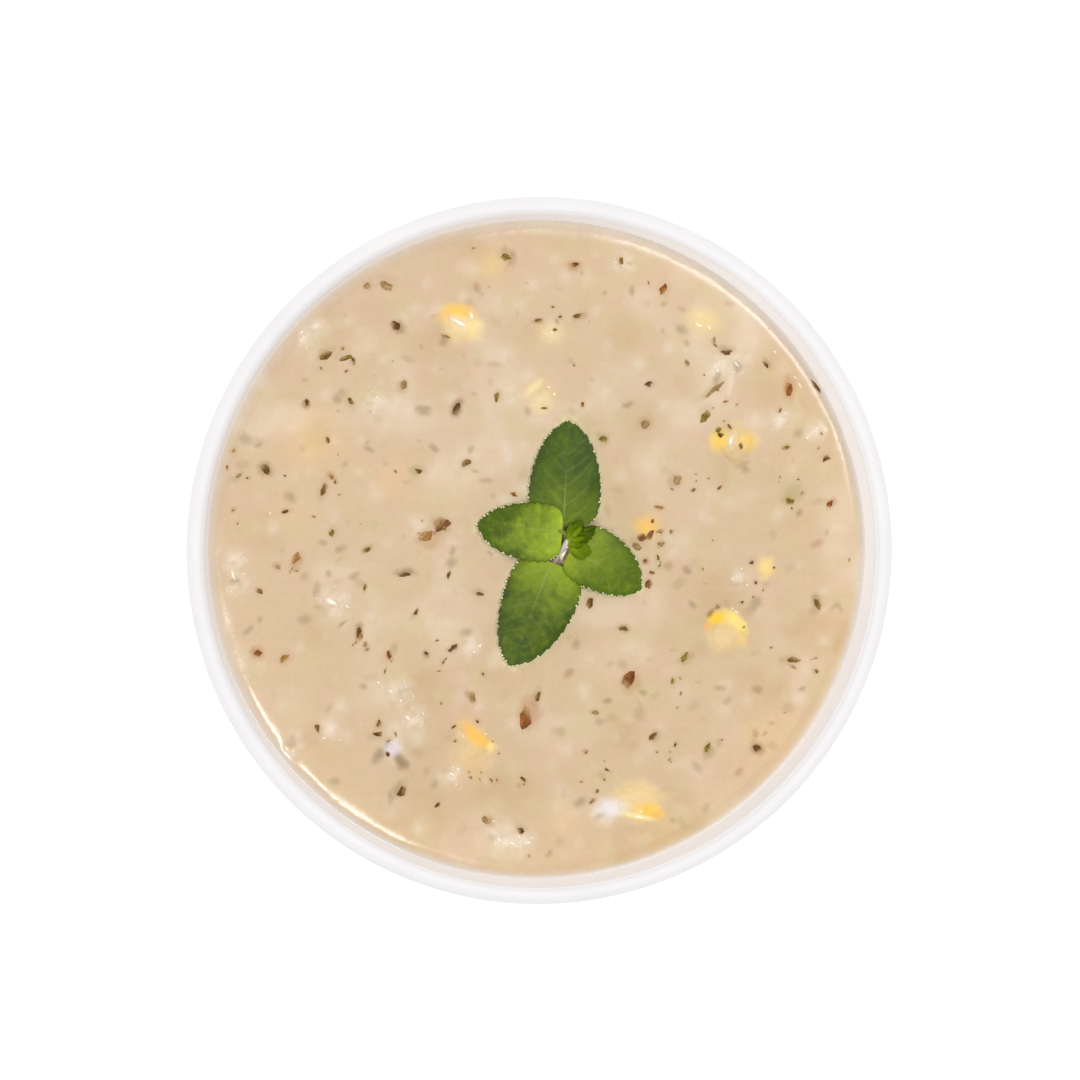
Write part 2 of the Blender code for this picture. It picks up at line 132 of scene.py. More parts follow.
# Bare and covered parts of the kernels, pale bits of the soup, and a few painted highlights
# and a painted shade: x, y, length, width, turn in degrees, strength, softness and colour
PATCHES = (
    (-13.6, 39.5, 5.0, 2.5, 2, 0.95, 0.60, (255, 204, 84)),
    (-12.8, 37.5, 4.6, 2.2, -28, 0.50, 0.90, (252, 238, 200)),
    (-16.1, 38.8, 1.8, 1.2, 55, 0.50, 0.85, (252, 190, 108)),
    (-10.8, 36.9, 3.6, 3.2, -60, 0.60, 0.68, (253, 228, 150)),
    (2.2, 35.9, 3.2, 2.8, 0, 0.50, 0.90, (248, 226, 172)),
    (-1.0, 26.9, 3.6, 1.0, 40, 0.75, 0.68, (252, 231, 168)),
    (0.9, 24.4, 3.4, 3.2, 0, 0.55, 0.68, (247, 225, 172)),
    (27.4, 38.2, 5.0, 3.0, -10, 0.45, 0.90, (248, 222, 145)),
    (30.3, 18.0, 2.8, 3.0, 0, 0.95, 0.77, (255, 214, 88)),
    (35.0, 18.0, 2.8, 2.9, 0, 0.80, 0.85, (254, 212, 105)),
    (32.5, 18.2, 1.1, 3.2, -15, 0.75, 0.85, (238, 212, 172)),
    (18.2, 3.8, 3.4, 3.0, 0, 0.90, 0.90, (252, 198, 88)),
    (38.3, -3.1, 3.3, 2.3, 80, 0.85, 0.68, (251, 221, 125)),
    (31.0, -15.4, 3.8, 2.8, 0, 0.50, 0.90, (243, 212, 155)),
    (28.5, -12.8, 1.8, 1.3, 70, 0.70, 0.85, (250, 180, 80)),
    (31.8, -11.2, 3.4, 1.9, -8, 0.75, 0.70, (253, 218, 105)),
    (33.4, -12.2, 4.4, 1.9, -45, 0.92, 0.59, (255, 227, 122)),
    (34.2, -15.0, 2.6, 1.3, -80, 0.70, 0.77, (251, 214, 126)),
    (29.9, -11.5, 2.6, 2.0, 20, 0.97, 0.59, (255, 208, 40)),
    (28.9, -10.7, 1.6, 0.8, 50, 0.75, 0.68, (150, 84, 20)),
    (-12.4, -29.0, 3.4, 2.4, 30, 0.45, 0.90, (241, 196, 130)),
    (-10.8, -34.0, 5.6, 4.8, 0, 0.50, 0.90, (243, 208, 150)),
    (-12.8, -30.8, 1.5, 1.1, 0, 0.50, 0.85, (250, 215, 178)),
    (-10.3, -31.0, 5.4, 2.3, -42, 0.95, 0.70, (255, 196, 70)),
    (-7.9, -32.8, 1.5, 1.3, 0, 0.80, 0.68, (254, 224, 135)),
    (12.2, -43.1, 4.0, 3.0, 0, 0.85, 0.77, (241, 233, 234)),
    (17.4, -41.0, 6.0, 3.6, -10, 0.65, 0.90, (246, 214, 156)),
    (18.7, -43.6, 4.6, 2.2, -8, 0.95, 0.59, (253, 206, 88)),
    (20.1, -44.4, 1.9, 1.5, 0, 0.80, 0.68, (250, 188, 82)),
    # Painted highlight: a bright wet streak along the tenth kernel
    (16.6, -44.6, 5.4, 0.8, -12, 0.80, 0.68, (255, 240, 172)),
    # Painted shade under the tenth kernel
    (15.8, -46.6, 4.2, 1.0, 0, 0.30, 0.90, (190, 165, 116)),
    (-24.3, -33.0, 2.6, 2.2, 30, 0.85, 0.59, (227, 214, 218)),
    # Painted highlight: a wet pale spot beside the near leaf
    (6.9, -7.0, 1.1, 0.8, 60, 0.85, 0.68, (232, 228, 232)),
    (32.2, 27.4, 5.2, 0.7, 82, 0.50, 0.85, (240, 222, 198)),
    (-14.0, 12.0, 9.0, 6.5, 20, 0.30, 0.90, (238, 215, 184)),
    (12.5, -18.5, 8.0, 6.0, 0, 0.25, 0.90, (232, 207, 172)),
    (-5.0, 16.0, 1.4, 3.6, 10, 0.35, 0.90, (232, 220, 205)),
)
# Small wet faces that catch the light: x, y, length, width, turn in degrees, and how far
# over the soup they lie
GLINTS = (
    (-13.1, 37.8, 3.7, 1.30, -28, 0),
    (-11.1, 38.9, 2.0, 0.90, -68, 0),
    (2.3, 36.2, 0.9, 0.38, -50, 0),
    (1.4, 35.9, 0.6, 0.38, -20, 0),
    (2.7, 25.9, 0.9, 0.70, -60, 0),
    (1.8, 27.1, 0.9, 0.38, -20, 0),
    (26.9, 37.4, 1.9, 0.75, -25, 0),
    (28.6, 37.0, 1.2, 0.55, -65, 0),
    (32.2, 18.2, 2.3, 0.95, -105, 0),
    (33.3, -10.5, 1.1, 0.43, -35, 0),
    (32.6, -9.9, 0.5, 0.38, -35, 0),
    (-8.7, -30.7, 0.8, 0.27, 40, 0),
    (-12.5, -31.0, 0.6, 0.43, -40, 0),
    (17.2, -43.8, 1.1, 0.43, 20, 0),
    (16.9, -44.7, 2.1, 0.39, -10, 0),
    (30.0, 29.8, 0.9, 0.49, -30, 0),
    (33.2, 30.9, 1.2, 0.54, -50, 0),
    (39.7, 32.9, 0.7, 0.49, -45, 0),
    (43.9, 27.3, 1.3, 0.49, -60, 0),
    (43.1, 28.6, 0.8, 0.33, -50, 0),
    (14.1, 47.3, 0.6, 0.38, -20, 0),
    (-34.4, -8.5, 2.7, 1.20, -30, 0),
    (-31.8, -9.3, 1.1, 0.43, -50, 0),
    (-26.6, -22.0, 0.9, 0.49, -45, 0),
    (-24.6, -23.4, 1.3, 0.54, -40, 0),
    (-22.9, -25.0, 0.8, 0.49, -60, 0),
    (-21.7, -27.9, 1.5, 0.65, -40, 0),
    (-19.2, -27.2, 0.8, 0.38, -60, 0),
    (-14.4, -37.3, 1.3, 0.59, -30, 0),
    (-6.5, -48.3, 1.1, 0.54, -40, 0),
    (-4.3, -48.9, 1.5, 0.58, -20, 0),
    (-1.6, -48.8, 1.2, 0.43, -35, 0),
    (-50.7, -4.0, 2.4, 0.58, -70, 0),
    (6.9, -6.8, 0.9, 0.75, 60, 0),
    (-44.5, 6.2, 0.6, 0.38, -45, 0),
    (20.2, 2.6, 0.8, 0.27, 20, 0),
    (4.1, -0.6, 2.1, 0.76, 62, 1.7),
    (4.7, 0.5, 0.8, 0.36, 20, 2.0),
)
# Slope of such a face over the middle of the bowl, and how it turns away from there
GLINT_SLOPE = (0.119, 0.115)
# Its rings: size, how far it curves down as a share of the width, and a drop in mm
GLINT_RINGS = ((0.45, 0.005, 0), (0.8, 0.025, 0), (1.0, 0.07, 0), (1.25, 0.12, 0.25))
GLINT_CORNERS = 16
GLINT_SEED = 61
TINY_GLINTS = 4
LIGHT_DISTANCE = 800

# Broad darker and paler parts of the soup: x, y, radius, strength, colour
CLOUDS = (
    (44.0, 8.0, 9.0, 0.55, (206, 178, 132)),
    (-22.5, -38.5, 8.0, 0.40, (206, 178, 140)),
    (15.5, 25.0, 6.0, 0.45, (204, 176, 136)),
    (15.5, 6.0, 5.5, 0.40, (206, 178, 134)),
    (-2.0, 3.0, 9.0, 0.30, (208, 184, 154)),
)

# Corn that lies wholly under the surface: x, y, radius, strength
SUNK_CORN = (
    (-37.7, 18.2, 4.6, 0.42),
    (-23.5, 11.5, 4.0, 0.20),
    (-7.6, 47.5, 2.4, 0.55),
    (38.4, -31.1, 3.6, 0.32),
    (-11.5, -36.0, 2.6, 0.35),
    (-41.0, 6.5, 3.6, 0.15),
    (4.1, -45.3, 3.0, 0.18),
    (20.5, -47.5, 3.2, 0.16),
)

# Flakes: x, y, length, width, turn in degrees, kind
LARGE_FLAKES = (
    (-2.1, -28.1, 4.2, 2.5, 88, "rust"),
    (15.3, -21.9, 3.2, 2.4, 63, "rust"),
    (-16.0, 4.2, 3.4, 2.4, 36, "crumb"),
    (-18.7, 2.3, 3.3, 2.2, 10, "tan"),
    (42.0, 26.8, 3.1, 1.5, 88, "rust"),
    (29.8, 26.9, 4.5, 0.9, 41, "faded"),
    (28.0, 22.2, 2.6, 1.4, 59, "olive"),
    (-25.2, 43.8, 2.7, 1.8, -19, "faded"),
    (-28.4, 44.0, 1.7, 1.3, 10, "faded"),
    (-35.7, 10.0, 3.3, 1.1, 76, "herb"),
    (-45.2, 13.4, 2.2, 1.6, -40, "dark"),
    (-13.5, 23.6, 2.6, 1.2, 67, "dark"),
    (-22.7, -40.0, 2.4, 1.5, 59, "dark"),
    (16.4, 0.4, 2.0, 1.5, -38, "faded"),
    (8.6, -8.9, 2.0, 1.3, 80, "dark"),
    (-35.2, 32.4, 2.5, 1.3, 29, "herb"),
    (-32.0, 31.9, 2.4, 1.0, 18, "olive"),
    (-23.7, 37.3, 2.0, 1.4, -35, "dark"),
    (-46.7, -17.1, 1.9, 1.5, -29, "rust"),
    (-42.2, -17.9, 2.1, 1.2, 37, "tan"),
    (18.5, -5.7, 1.9, 1.4, 54, "crumb"),
    (42.9, -18.6, 2.5, 1.1, 0, "herb"),
    (-29.8, -13.7, 2.8, 0.9, 83, "dark"),
    (-40.2, -1.2, 2.2, 1.3, 57, "tan"),
    (42.2, 7.9, 2.0, 1.3, -13, "olive"),
    (-0.1, -24.6, 2.3, 1.0, 78, "herb"),
    (-26.7, -30.6, 2.1, 1.1, -3, "dark"),
    (18.0, 20.9, 2.2, 1.9, 28, "faded"),
    (23.3, 11.7, 1.9, 1.7, 9, "faded"),
    (-22.3, -4.0, 2.4, 0.9, 6, "dark"),
)
# Smaller ones that the solids leave out
MORE_FLAKES = (
    (18.7, 2.3, 2.5, 1.4, 75, "crumb"),
    (17.4, 2.1, 1.7, 1.4, 20, "crumb"),
    (19.2, 4.7, 0.9, 0.8, 60, "rust"),
    (20.4, 3.0, 1.3, 0.7, 15, "faded"),
    (20.3, 7.0, 1.8, 0.7, -15, "tan"),
    (22.3, 2.9, 0.9, 0.7, 80, "faded"),
    (20.6, 0.9, 1.3, 0.9, 10, "faded"),
    (19.0, -3.9, 1.1, 0.8, 0, "crumb"),
    (18.0, -1.9, 1.1, 0.9, 40, "crumb"),
    (30.1, 19.9, 1.2, 1.0, 30, "olive"),
    (30.6, 19.1, 1.4, 0.9, -20, "dark"),
    (32.1, 20.4, 1.4, 0.6, -55, "herb"),
    (33.9, 17.2, 1.5, 0.7, -75, "herb"),
    (30.1, -9.7, 1.0, 0.8, 50, "faded"),
    (34.3, -8.9, 0.7, 0.5, -40, "dark"),
    (34.5, -13.1, 0.7, 0.5, 20, "faded"),
    (35.8, -2.2, 0.9, 0.7, 10, "dark"),
    (39.6, -3.1, 0.5, 0.4, 0, "dark"),
    (36.5, -5.6, 0.8, 0.5, -60, "dark"),
    (-14.1, -29.4, 1.0, 0.5, 35, "dark"),
    (-10.2, -28.6, 0.8, 0.5, -60, "dark"),
    (0.1, 38.2, 1.5, 0.6, 10, "herb"),
    (3.7, 38.8, 0.7, 0.4, 20, "dark"),
    (2.8, 36.6, 1.0, 0.6, 30, "herb"),
    (-15.2, 35.4, 1.9, 0.5, -15, "faded"),
    (29.5, 34.9, 1.0, 0.5, 80, "faded"),
    (29.7, 34.0, 1.1, 0.4, -45, "faded"),
    (1.0, 23.6, 1.2, 0.5, 5, "tan"),
    (38.2, 30.8, 1.6, 0.7, -50, "dark"),
    (46.4, 27.4, 3.0, 0.8, -60, "dark"),
)
SMALL_FLAKES = 46
SMALL_FLAKE_SPACING = 6.0
FLAKE_MARGIN = 0.9
FLAKE_WALL_GAP = 2.0
FLAKE_SEED = 41
FLAKE_PROUD = 0.16
SPECK_PROUD = 0.09
SPECKS = 34
SPECK_SEED = 77
# Bits of cream smaller than the lumps, at each lump and loose, and herbs under the surface
BITS_PER_LUMP = 9
LOOSE_BITS = 420
BIT_SEED = 11
SUNK_FLAKES = 230
SUNK_SEED = 29
BEAD_SEED = 5
# Places where specks lie close together: x, y, spread, count
CLUSTERS = (
    (19.8, -1.0, 3.4, 5),
    (31.2, 24.9, 3.0, 7),
    (-32.7, 30.8, 3.0, 5),
    (24.7, 11.2, 2.6, 5),
    (-49.1, 13.5, 2.6, 4),
    (-35.5, 12.4, 2.6, 5),
    (-17.6, 3.2, 2.0, 4),
    (-41.1, -1.8, 2.4, 4),
    (-29.8, -16.1, 2.2, 5),
    (-16.5, -16.9, 2.6, 4),
    (-24.7, -31.9, 2.4, 6),
    (-8.4, -37.8, 5.5, 9),
    (10.8, -38.6, 3.2, 5),
    (42.6, 9.9, 2.6, 5),
    (43.9, -18.9, 3.0, 5),
    (24.5, -21.9, 2.8, 4),
    (21.7, -34.4, 3.0, 5),
)

# Mint leaves: base, tip, widths to the left and right of the way to the tip, heights
# over the soup at the base, between and at the tip, and the droop of the edges
LEAF_THICKNESS = 0.3
LEAF_BASE_POWER = 0.2
LEAF_TIP_POWER = 0.5
LEAF_TIP_POINT = 0.25
# Share of its length at which a leaf's width is last measured, the length that the veins
# are drawn for, and the steps along and across, teeth to a side and their depth
LEAF_END = 0.02
LEAF_LENGTH = 17.0
LEAF_GRID = (150, 44, 11, 0.34)
BUD_GRID = (60, 24, 6, 0.3)
LEAVES = {
    "far": ((4.1, 4.2), (5.1, 21.7), (6.0, 6.0), (1.45, 1.75, 0.7), 0.75),
    "near": ((2.1, -2.0), (-4.9, -19.4), (6.8, 5.6), (1.5, 1.75, 0.7), 0.75),
    "left": ((3.8, 3.2), (-10.4, 4.2), (5.4, 4.4), (2.4, 2.2, 0.7), 0.65),
    "right": ((5.3, 0.2), (17.3, -6.7), (5.7, 4.4), (2.3, 2.1, 0.7), 0.65),
}
BUD_LEAVES = {
    "upper": ((5.2, 1.5), (9.3, 3.5), (1.5, 1.5), (2.2, 3.6, 2.7), 0.35),
    "lower": ((5.2, 0.9), (8.6, -0.6), (1.4, 1.4), (2.2, 3.3, 2.7), 0.3),
}
# Curled scales in the heart of the bud, finer than the solid has
BUD_SCALES = {
    "inner": ((4.9, 1.5), (6.5, 2.9), (0.9, 0.8), (2.5, 3.2, 3.0), 0.5),
    "outer": ((5.0, 1.1), (7.2, 0.9), (0.9, 0.9), (2.5, 3.4, 3.1), 0.5),
    "tip": ((6.6, 2.6), (8.6, 3.5), (0.8, 0.7), (3.0, 3.3, 3.0), 0.6),
    "crown": ((5.1, 2.4), (7.2, 5.0), (1.0, 0.9), (2.5, 3.6, 3.2), 0.5),
    "side": ((4.8, 1.9), (5.2, 4.5), (0.6, 0.8), (2.4, 3.3, 3.0), 0.4),
    "curl": ((7.3, 3.3), (9.5, 4.0), (0.5, 0.5), (3.2, 3.7, 3.2), 0.5),
    "lobe": ((5.5, 0.5), (7.5, -1.4), (0.9, 0.9), (2.6, 3.3, 2.8), 0.5),
    "heart": ((5.5, 1.6), (7.5, 2.2), (0.6, 0.6), (3.0, 3.8, 3.6), 0.6),
    "young": ((5.6, 2.4), (6.9, 4.0), (0.5, 0.6), (3.2, 4.0, 3.8), 0.5),
}
STEM_PATH = ((1.9, -3.2, 0.6), (2.8, -1.8, 1.0), (4.0, 0.2, 1.6), (5.1, 1.9, 2.1))
FAR_STALK = ((2.9, -1.5, 1.25), (3.4, 1.2, 1.3), (4.1, 5.2, 1.45))
LEFT_STALK = ((5.1, 1.8, 2.1), (4.4, 2.7, 2.2), (3.2, 3.3, 2.3))
RIGHT_STALK = ((4.9, 1.6, 2.1), (5.4, 0.6, 2.2), (6.2, -0.3, 2.25))
STEM_RADIUS = 0.7
STALK_RADIUS = 0.45

# Painted glow on the card, as a share of white: emission that stands in for light the card lets
# through to the inner wall
PAINTED_GLOW_SHARE = 0.22
CARD_GLOW = (0.97, 1.0, 1.08)
CARD_SHADE_TURN = 140
GLOW_RIGHT_TURN = 50
GLOW_LEFT_TURN = 235
# Shares of it: all round, more at the right and less in the shade, less under the roll
# between two heights, on the roll at the sides, and on its top and its outside
GLOW_EVEN = 0.95
GLOW_RIGHT = 0.25
GLOW_SHADE = 0.4
GLOW_UNDER_ROLL = 0.45
UNDER_ROLL = (66.5, 67.1)
ROLL_GLOW_LEFT = 0.15
ROLL_GLOW_TOP = 0.1
ROLL_GLOW_OUTSIDE = 0.2

# Colours as a picture editor names them, from 0 to 255
CARD = (243, 241, 242)
SOUP = (215, 187, 150)
SOUP_PALE = (228, 205, 176)
SOUP_PINK = (217, 183, 150)
SOUP_GREEN = (211, 189, 143)
SOUP_DEEP = (201, 169, 119)
LUMP_PALE = (243, 228, 207)
# Pale cream at the leaves' edges, partly painted light
LEAF_RIM = (244, 232, 176)
LEAF_VEIN = (150, 170, 84)
LEAF_EDGE = (50, 58, 16)
# Near-white beads at the leaf teeth: a painted highlight
BEAD_HIGHLIGHT = (252, 244, 196)
STALK_BROWN = (126, 84, 58)
STALK_GREEN = (128, 152, 54)
# Pale end of the stem: a painted wet highlight
STEM_PALE_SHEEN = (228, 226, 214)
# Pale film at the wall, partly painted light
THIN_FILM = (243, 234, 225)
FILM_WIDE_TURN = 115
ROUGH_CREAM = 0.46
ROUGH_FILM = 0.17
CORN_PALE = (255, 221, 148)
CORN_VIVID = (253, 208, 72)
SUNK_CORN_COLOUR = (250, 205, 120)
FLAKE_COLOURS = {
    "dark": ((82, 51, 12), (136, 96, 42)),
    "herb": ((106, 76, 24), (154, 117, 58)),
    "olive": ((108, 88, 14), (160, 136, 54)),
    "rust": ((104, 55, 8), (172, 104, 36)),
    "crumb": ((112, 68, 30), (164, 116, 70)),
    "tan": ((146, 98, 42), (190, 144, 86)),
    "faded": ((142, 110, 66), (184, 151, 104)),
}


def linear(colour):
    """Light values for a colour of 0 to 255, one channel or an array of them."""
    share = np.asarray(colour, float) / 255
    return np.where(share <= 0.04045, share / 12.92, ((share + 0.055) / 1.055) ** 2.4)


def smooth(low, high, value):
    """0 below low, 1 above high, and a smooth step between."""
    share = np.clip((value - low) / (high - low), 0, 1)
    return share * share * (3 - 2 * share)


def mix(first, second, share):
    """Blends two colours or arrays of colours by a share of 0 to 1 for each point."""
    share = np.asarray(share)[..., None]
    return np.asarray(first) * (1 - share) + np.asarray(second) * share


def noise(x, y, size, seed):
    """Smooth noise from -1 to 1 with features of about that size."""
    cells = np.random.RandomState(seed).uniform(-1, 1, (128, 128))
    u, v = np.asarray(x) / size + 40.3, np.asarray(y) / size + 40.7
    column, row = np.floor(u).astype(int), np.floor(v).astype(int)
    across, up = smooth(0, 1, u - column), smooth(0, 1, v - row)
    here = cells[row % 128, column % 128] * (1 - across)
    here += cells[row % 128, (column + 1) % 128] * across
    above = cells[(row + 1) % 128, column % 128] * (1 - across)
    above += cells[(row + 1) % 128, (column + 1) % 128] * across
    return here * (1 - up) + above * up


def rotate(x, y, turn):
    """A place turned about the origin by an angle in radians."""
    c, s = math.cos(turn), math.sin(turn)
    return x * c - y * s, x * s + y * c


def away_from(spot, x, y):
    """Distance from the middle of a spot of x, y and radius, as a share of the radius."""
    return np.hypot(x - spot[0], y - spot[1]) / spot[2]


def towards(turn, way):
    """1 on the side of the bowl at that way in degrees, and 0 from a quarter turn off."""
    return np.maximum(np.cos(np.radians(turn - way)), 0)


# Meshes

def make_mesh(name, points, faces, colours=None, slot=None, finish=None):
    """An object from points in mm and faces, with a colour for each point."""
    mesh = bpy.data.meshes.new(name)
    mesh.from_pydata((np.asarray(points) * MM).tolist(), [], faces)
    mesh.validate()
    if colours is not None:
        paint = mesh.color_attributes.new("tint", "FLOAT_COLOR", "POINT")
        solid = np.asarray(colours)
        if solid.shape[1] == 3:
            solid = np.c_[solid, np.ones(len(solid))]
        paint.data.foreach_set("color", solid.astype(np.float32).ravel())
    mesh.shade_smooth()
    piece = bpy.data.objects.new(name, mesh)
    bpy.context.scene.collection.objects.link(piece)
    if finish:
        mesh.materials.append(finish)
    return piece


def join_parts(parts):
    """Joins lists of (points, faces, colours) into one such list."""
    points, faces, colours, start = [], [], [], 0
    for part_points, part_faces, part_colours in parts:
        points.append(np.asarray(part_points, float))
        colours.append(np.asarray(part_colours, float))
        faces += [[corner + start for corner in face] for face in part_faces]
        start += len(part_points)
    return np.concatenate(points), faces, np.concatenate(colours)


def turned(profile, segments):
    """Points and faces of a profile of (radius, z) turned round Z, closed on the axis."""
    points, faces, rows = [], [], []
    turns = np.arange(segments) * math.tau / segments
    for radius, z in profile:
        if radius == 0:
            rows.append([len(points)])
            points.append((0, 0, z))
        else:
            rows.append(list(range(len(points), len(points) + segments)))
            points += [(radius * c, radius * s, z) for c, s in zip(np.cos(turns), np.sin(turns))]
    for low, high in zip(rows, rows[1:]):
        for step in range(segments):
            after = (step + 1) % segments
            if len(low) == 1:
                faces.append((low[0], high[after], high[step]))
            elif len(high) == 1:
                faces.append((low[step], low[after], high[0]))
            else:
                faces.append((low[step], low[after], high[after], high[step]))
    return np.array(points), faces


def band(low, high):
    """Faces between two rings with as many points each."""
    return np.stack([low, high, np.roll(high, -1), np.roll(low, -1)], 1).tolist()


def fan(centre, ring):
    """Triangles from a middle point to a ring round it."""
    return [(centre, here, after) for here, after in zip(ring, np.roll(ring, -1))]


def ring_rows(corners, count):
    """Numbers of the points in each ring after a single middle point."""
    return np.arange(1, 1 + corners * count).reshape(count, corners)


def ball(segments, rows, squareness=1):
    """Points and faces of a unit ball, squarer with a squareness below 1."""
    turns = np.arange(segments) * math.tau / segments
    points = [(0, 0, 1)]
    for angle in np.linspace(0, math.pi, rows + 1)[1:-1]:
        out = math.sin(angle) ** squareness
        up = math.copysign(abs(math.cos(angle)) ** squareness, math.cos(angle))
        points += [(out * math.cos(turn), out * math.sin(turn), up) for turn in turns]
    points.append((0, 0, -1))
    rings = ring_rows(segments, rows - 1)
    faces = fan(0, rings[0])
    for low, high in zip(rings, rings[1:]):
        faces += band(low, high)
    faces += [face[::-1] for face in fan(len(points) - 1, rings[-1])]
    return np.array(points), faces


# Materials

def noise_node(nodes, links, size, detail):
    """A noise texture in object space whose features are about that many mm across."""
    place = nodes.new("ShaderNodeTexCoord")
    made = nodes.new("ShaderNodeTexNoise")
    made.inputs["Scale"].default_value = 1 / (size * MM)
    made.inputs["Detail"].default_value = detail
    links.new(place.outputs["Object"], made.inputs["Vector"])
    return made


def vary(nodes, links, colour, pattern, low, high):
    """Multiplies a colour by a grey that runs from low to high with the pattern."""
    spread = nodes.new("ShaderNodeMapRange")
    spread.inputs["From Min"].default_value = 0.3
    spread.inputs["From Max"].default_value = 0.7
    spread.inputs["To Min"].default_value = low
    spread.inputs["To Max"].default_value = high
    links.new(pattern.outputs["Fac"], spread.inputs["Value"])
    scaled = nodes.new("ShaderNodeVectorMath")
    scaled.operation = "SCALE"
    links.new(colour, scaled.inputs[0])
    links.new(spread.outputs["Result"], scaled.inputs["Scale"])
    return scaled.outputs["Vector"]


def tint(nodes, output="Color"):
    made = nodes.new("ShaderNodeAttribute")
    made.attribute_name = "tint"
    return made.outputs[output]


def plain(nodes, colour):
    made = nodes.new("ShaderNodeRGB")
    made.outputs[0].default_value = (*colour, 1)
    return made.outputs[0]


def material(name, patterns, roughness, shine, tooth=None, base=None):
    """A material whose colour is a base, or the mesh's tint, under noise patterns.

    A pattern gives its size in mm, its detail and the greys it runs between. The tooth
    gives the size and detail of the bump and its height in mm.
    """
    made = bpy.data.materials.new(name)
    made.use_nodes = True
    nodes, links = made.node_tree.nodes, made.node_tree.links
    shader = nodes["Principled BSDF"]
    colour = tint(nodes) if base is None else plain(nodes, base)
    for size, detail, low, high in patterns:
        colour = vary(nodes, links, colour, noise_node(nodes, links, size, detail), low, high)
    links.new(colour, shader.inputs["Base Color"])
    shader.inputs["Roughness"].default_value = roughness
    shader.inputs["Specular IOR Level"].default_value = shine
    if tooth:
        size, detail, depth = tooth
        raised = nodes.new("ShaderNodeBump")
        raised.inputs["Strength"].default_value = 1
        raised.inputs["Distance"].default_value = depth * MM
        links.new(noise_node(nodes, links, size, detail).outputs["Fac"], raised.inputs["Height"])
        links.new(raised.outputs["Normal"], shader.inputs["Normal"])
    return made, nodes, links, shader, colour


def card_material():
    patterns = (9, 3, 0.985, 1.01), (0.35, 4, 0.985, 1.005)
    looks = material("white_card", patterns, 0.62, 0.35, (0.35, 4, 0.02), linear(CARD))
    made, nodes, links, shader, _ = looks
    # Painted glow: the tint drives emission that stands in for light the thin card lets through to
    # its inner face
    links.new(tint(nodes), shader.inputs["Emission Color"])
    shader.inputs["Emission Strength"].default_value = 1
    made.cycles.emission_sampling = "NONE"
    return made


def soup_material():
    patterns = (0.9, 3, 0.975, 1.02), (3.2, 2, 0.98, 1.015)
    looks = material("chowder", patterns, ROUGH_CREAM, 0.5, (1.3, 2, 0.035))
    made, nodes, links, shader, _ = looks
    links.new(tint(nodes, "Alpha"), shader.inputs["Roughness"])
    return made


def floor_material():
    looks = material("pale_floor", [(60, 2, 0.99, 1.01)], 0.9, 0.5, base=FLOOR)
    made, _, links, shader, colour = looks
    links.new(colour, shader.inputs["Emission Color"])
    shader.inputs["Emission Strength"].default_value = FLOOR_GLOW
    return made


def corn_material():
    return material("sweet_corn", [(0.8, 3, 0.96, 1.03)], 0.44, 0.4, (1.1, 2, 0.05))[0]


def flake_material():
    return material("dried_herb", [(0.3, 3, 0.7, 1.35)], 0.5, 0.2, (0.3, 3, 0.06))[0]


def mint_material(name, shine):
    patterns = (1.6, 3, 0.95, 1.05), (0.25, 3, 0.94, 1.06)
    return material(name, patterns, 0.42, shine, (0.25, 3, 0.03))[0]


def bead_material(name, roughness, uneven):
    return material(name, [(0.5, 1, 0.95, 1.05)], roughness, 0.5, (0.35, 2, uneven))[0]


# Bowl

def wall_inside(z):
    """Radius of the bowl's inner face at a height."""
    return RIM_RADIUS - 2 * ROLL_RADIUS - (BOWL_HEIGHT - ROLL_RADIUS - z) * WALL_LEAN


def arc(centre, radius, start, end, steps):
    """Points of a round stretch of a profile, with its angles in degrees."""
    angles = np.radians(np.linspace(start, end, steps + 1))
    return [(centre[0] + radius * math.cos(a), centre[1] + radius * math.sin(a)) for a in angles]


def bowl_profile():
    """Radius and height from the floor's underside, up the outside and down the inside."""
    foot = wall_inside(0) + WALL_THICKNESS
    edge = 0.3
    roll = (RIM_RADIUS - ROLL_RADIUS, BOWL_HEIGHT - ROLL_RADIUS)
    points = [(0, FLOOR_UNDERSIDE), (foot - FOOT_WIDTH - 1.2, FLOOR_UNDERSIDE)]
    points += arc((foot - FOOT_WIDTH - 1, FLOOR_UNDERSIDE - 1), 1, 90, 0, 4)
    points += arc((foot - FOOT_WIDTH + edge, edge), edge, 180, 270, 4)
    points += arc((foot - edge, edge), edge, 270, 352, 4)
    for share in (0.1, 0.3, 0.5, 0.7, 0.9, 0.985):
        z = share * roll[1]
        points.append((wall_inside(z) + WALL_THICKNESS, z))
    points += arc(roll, ROLL_RADIUS, -125, 180, 44)
    floor_top = FLOOR_UNDERSIDE + FLOOR_THICKNESS
    for z in (65.5, 64.5, 63.5, 62.5, 61.5, 60, 55, 47, 38, 28, 16, floor_top + 1):
        points.append((wall_inside(z), z))
    points += arc((wall_inside(floor_top + 1) - 1, floor_top + 1), 1, -20, -90, 3)
    points.append((0, floor_top))
    return points


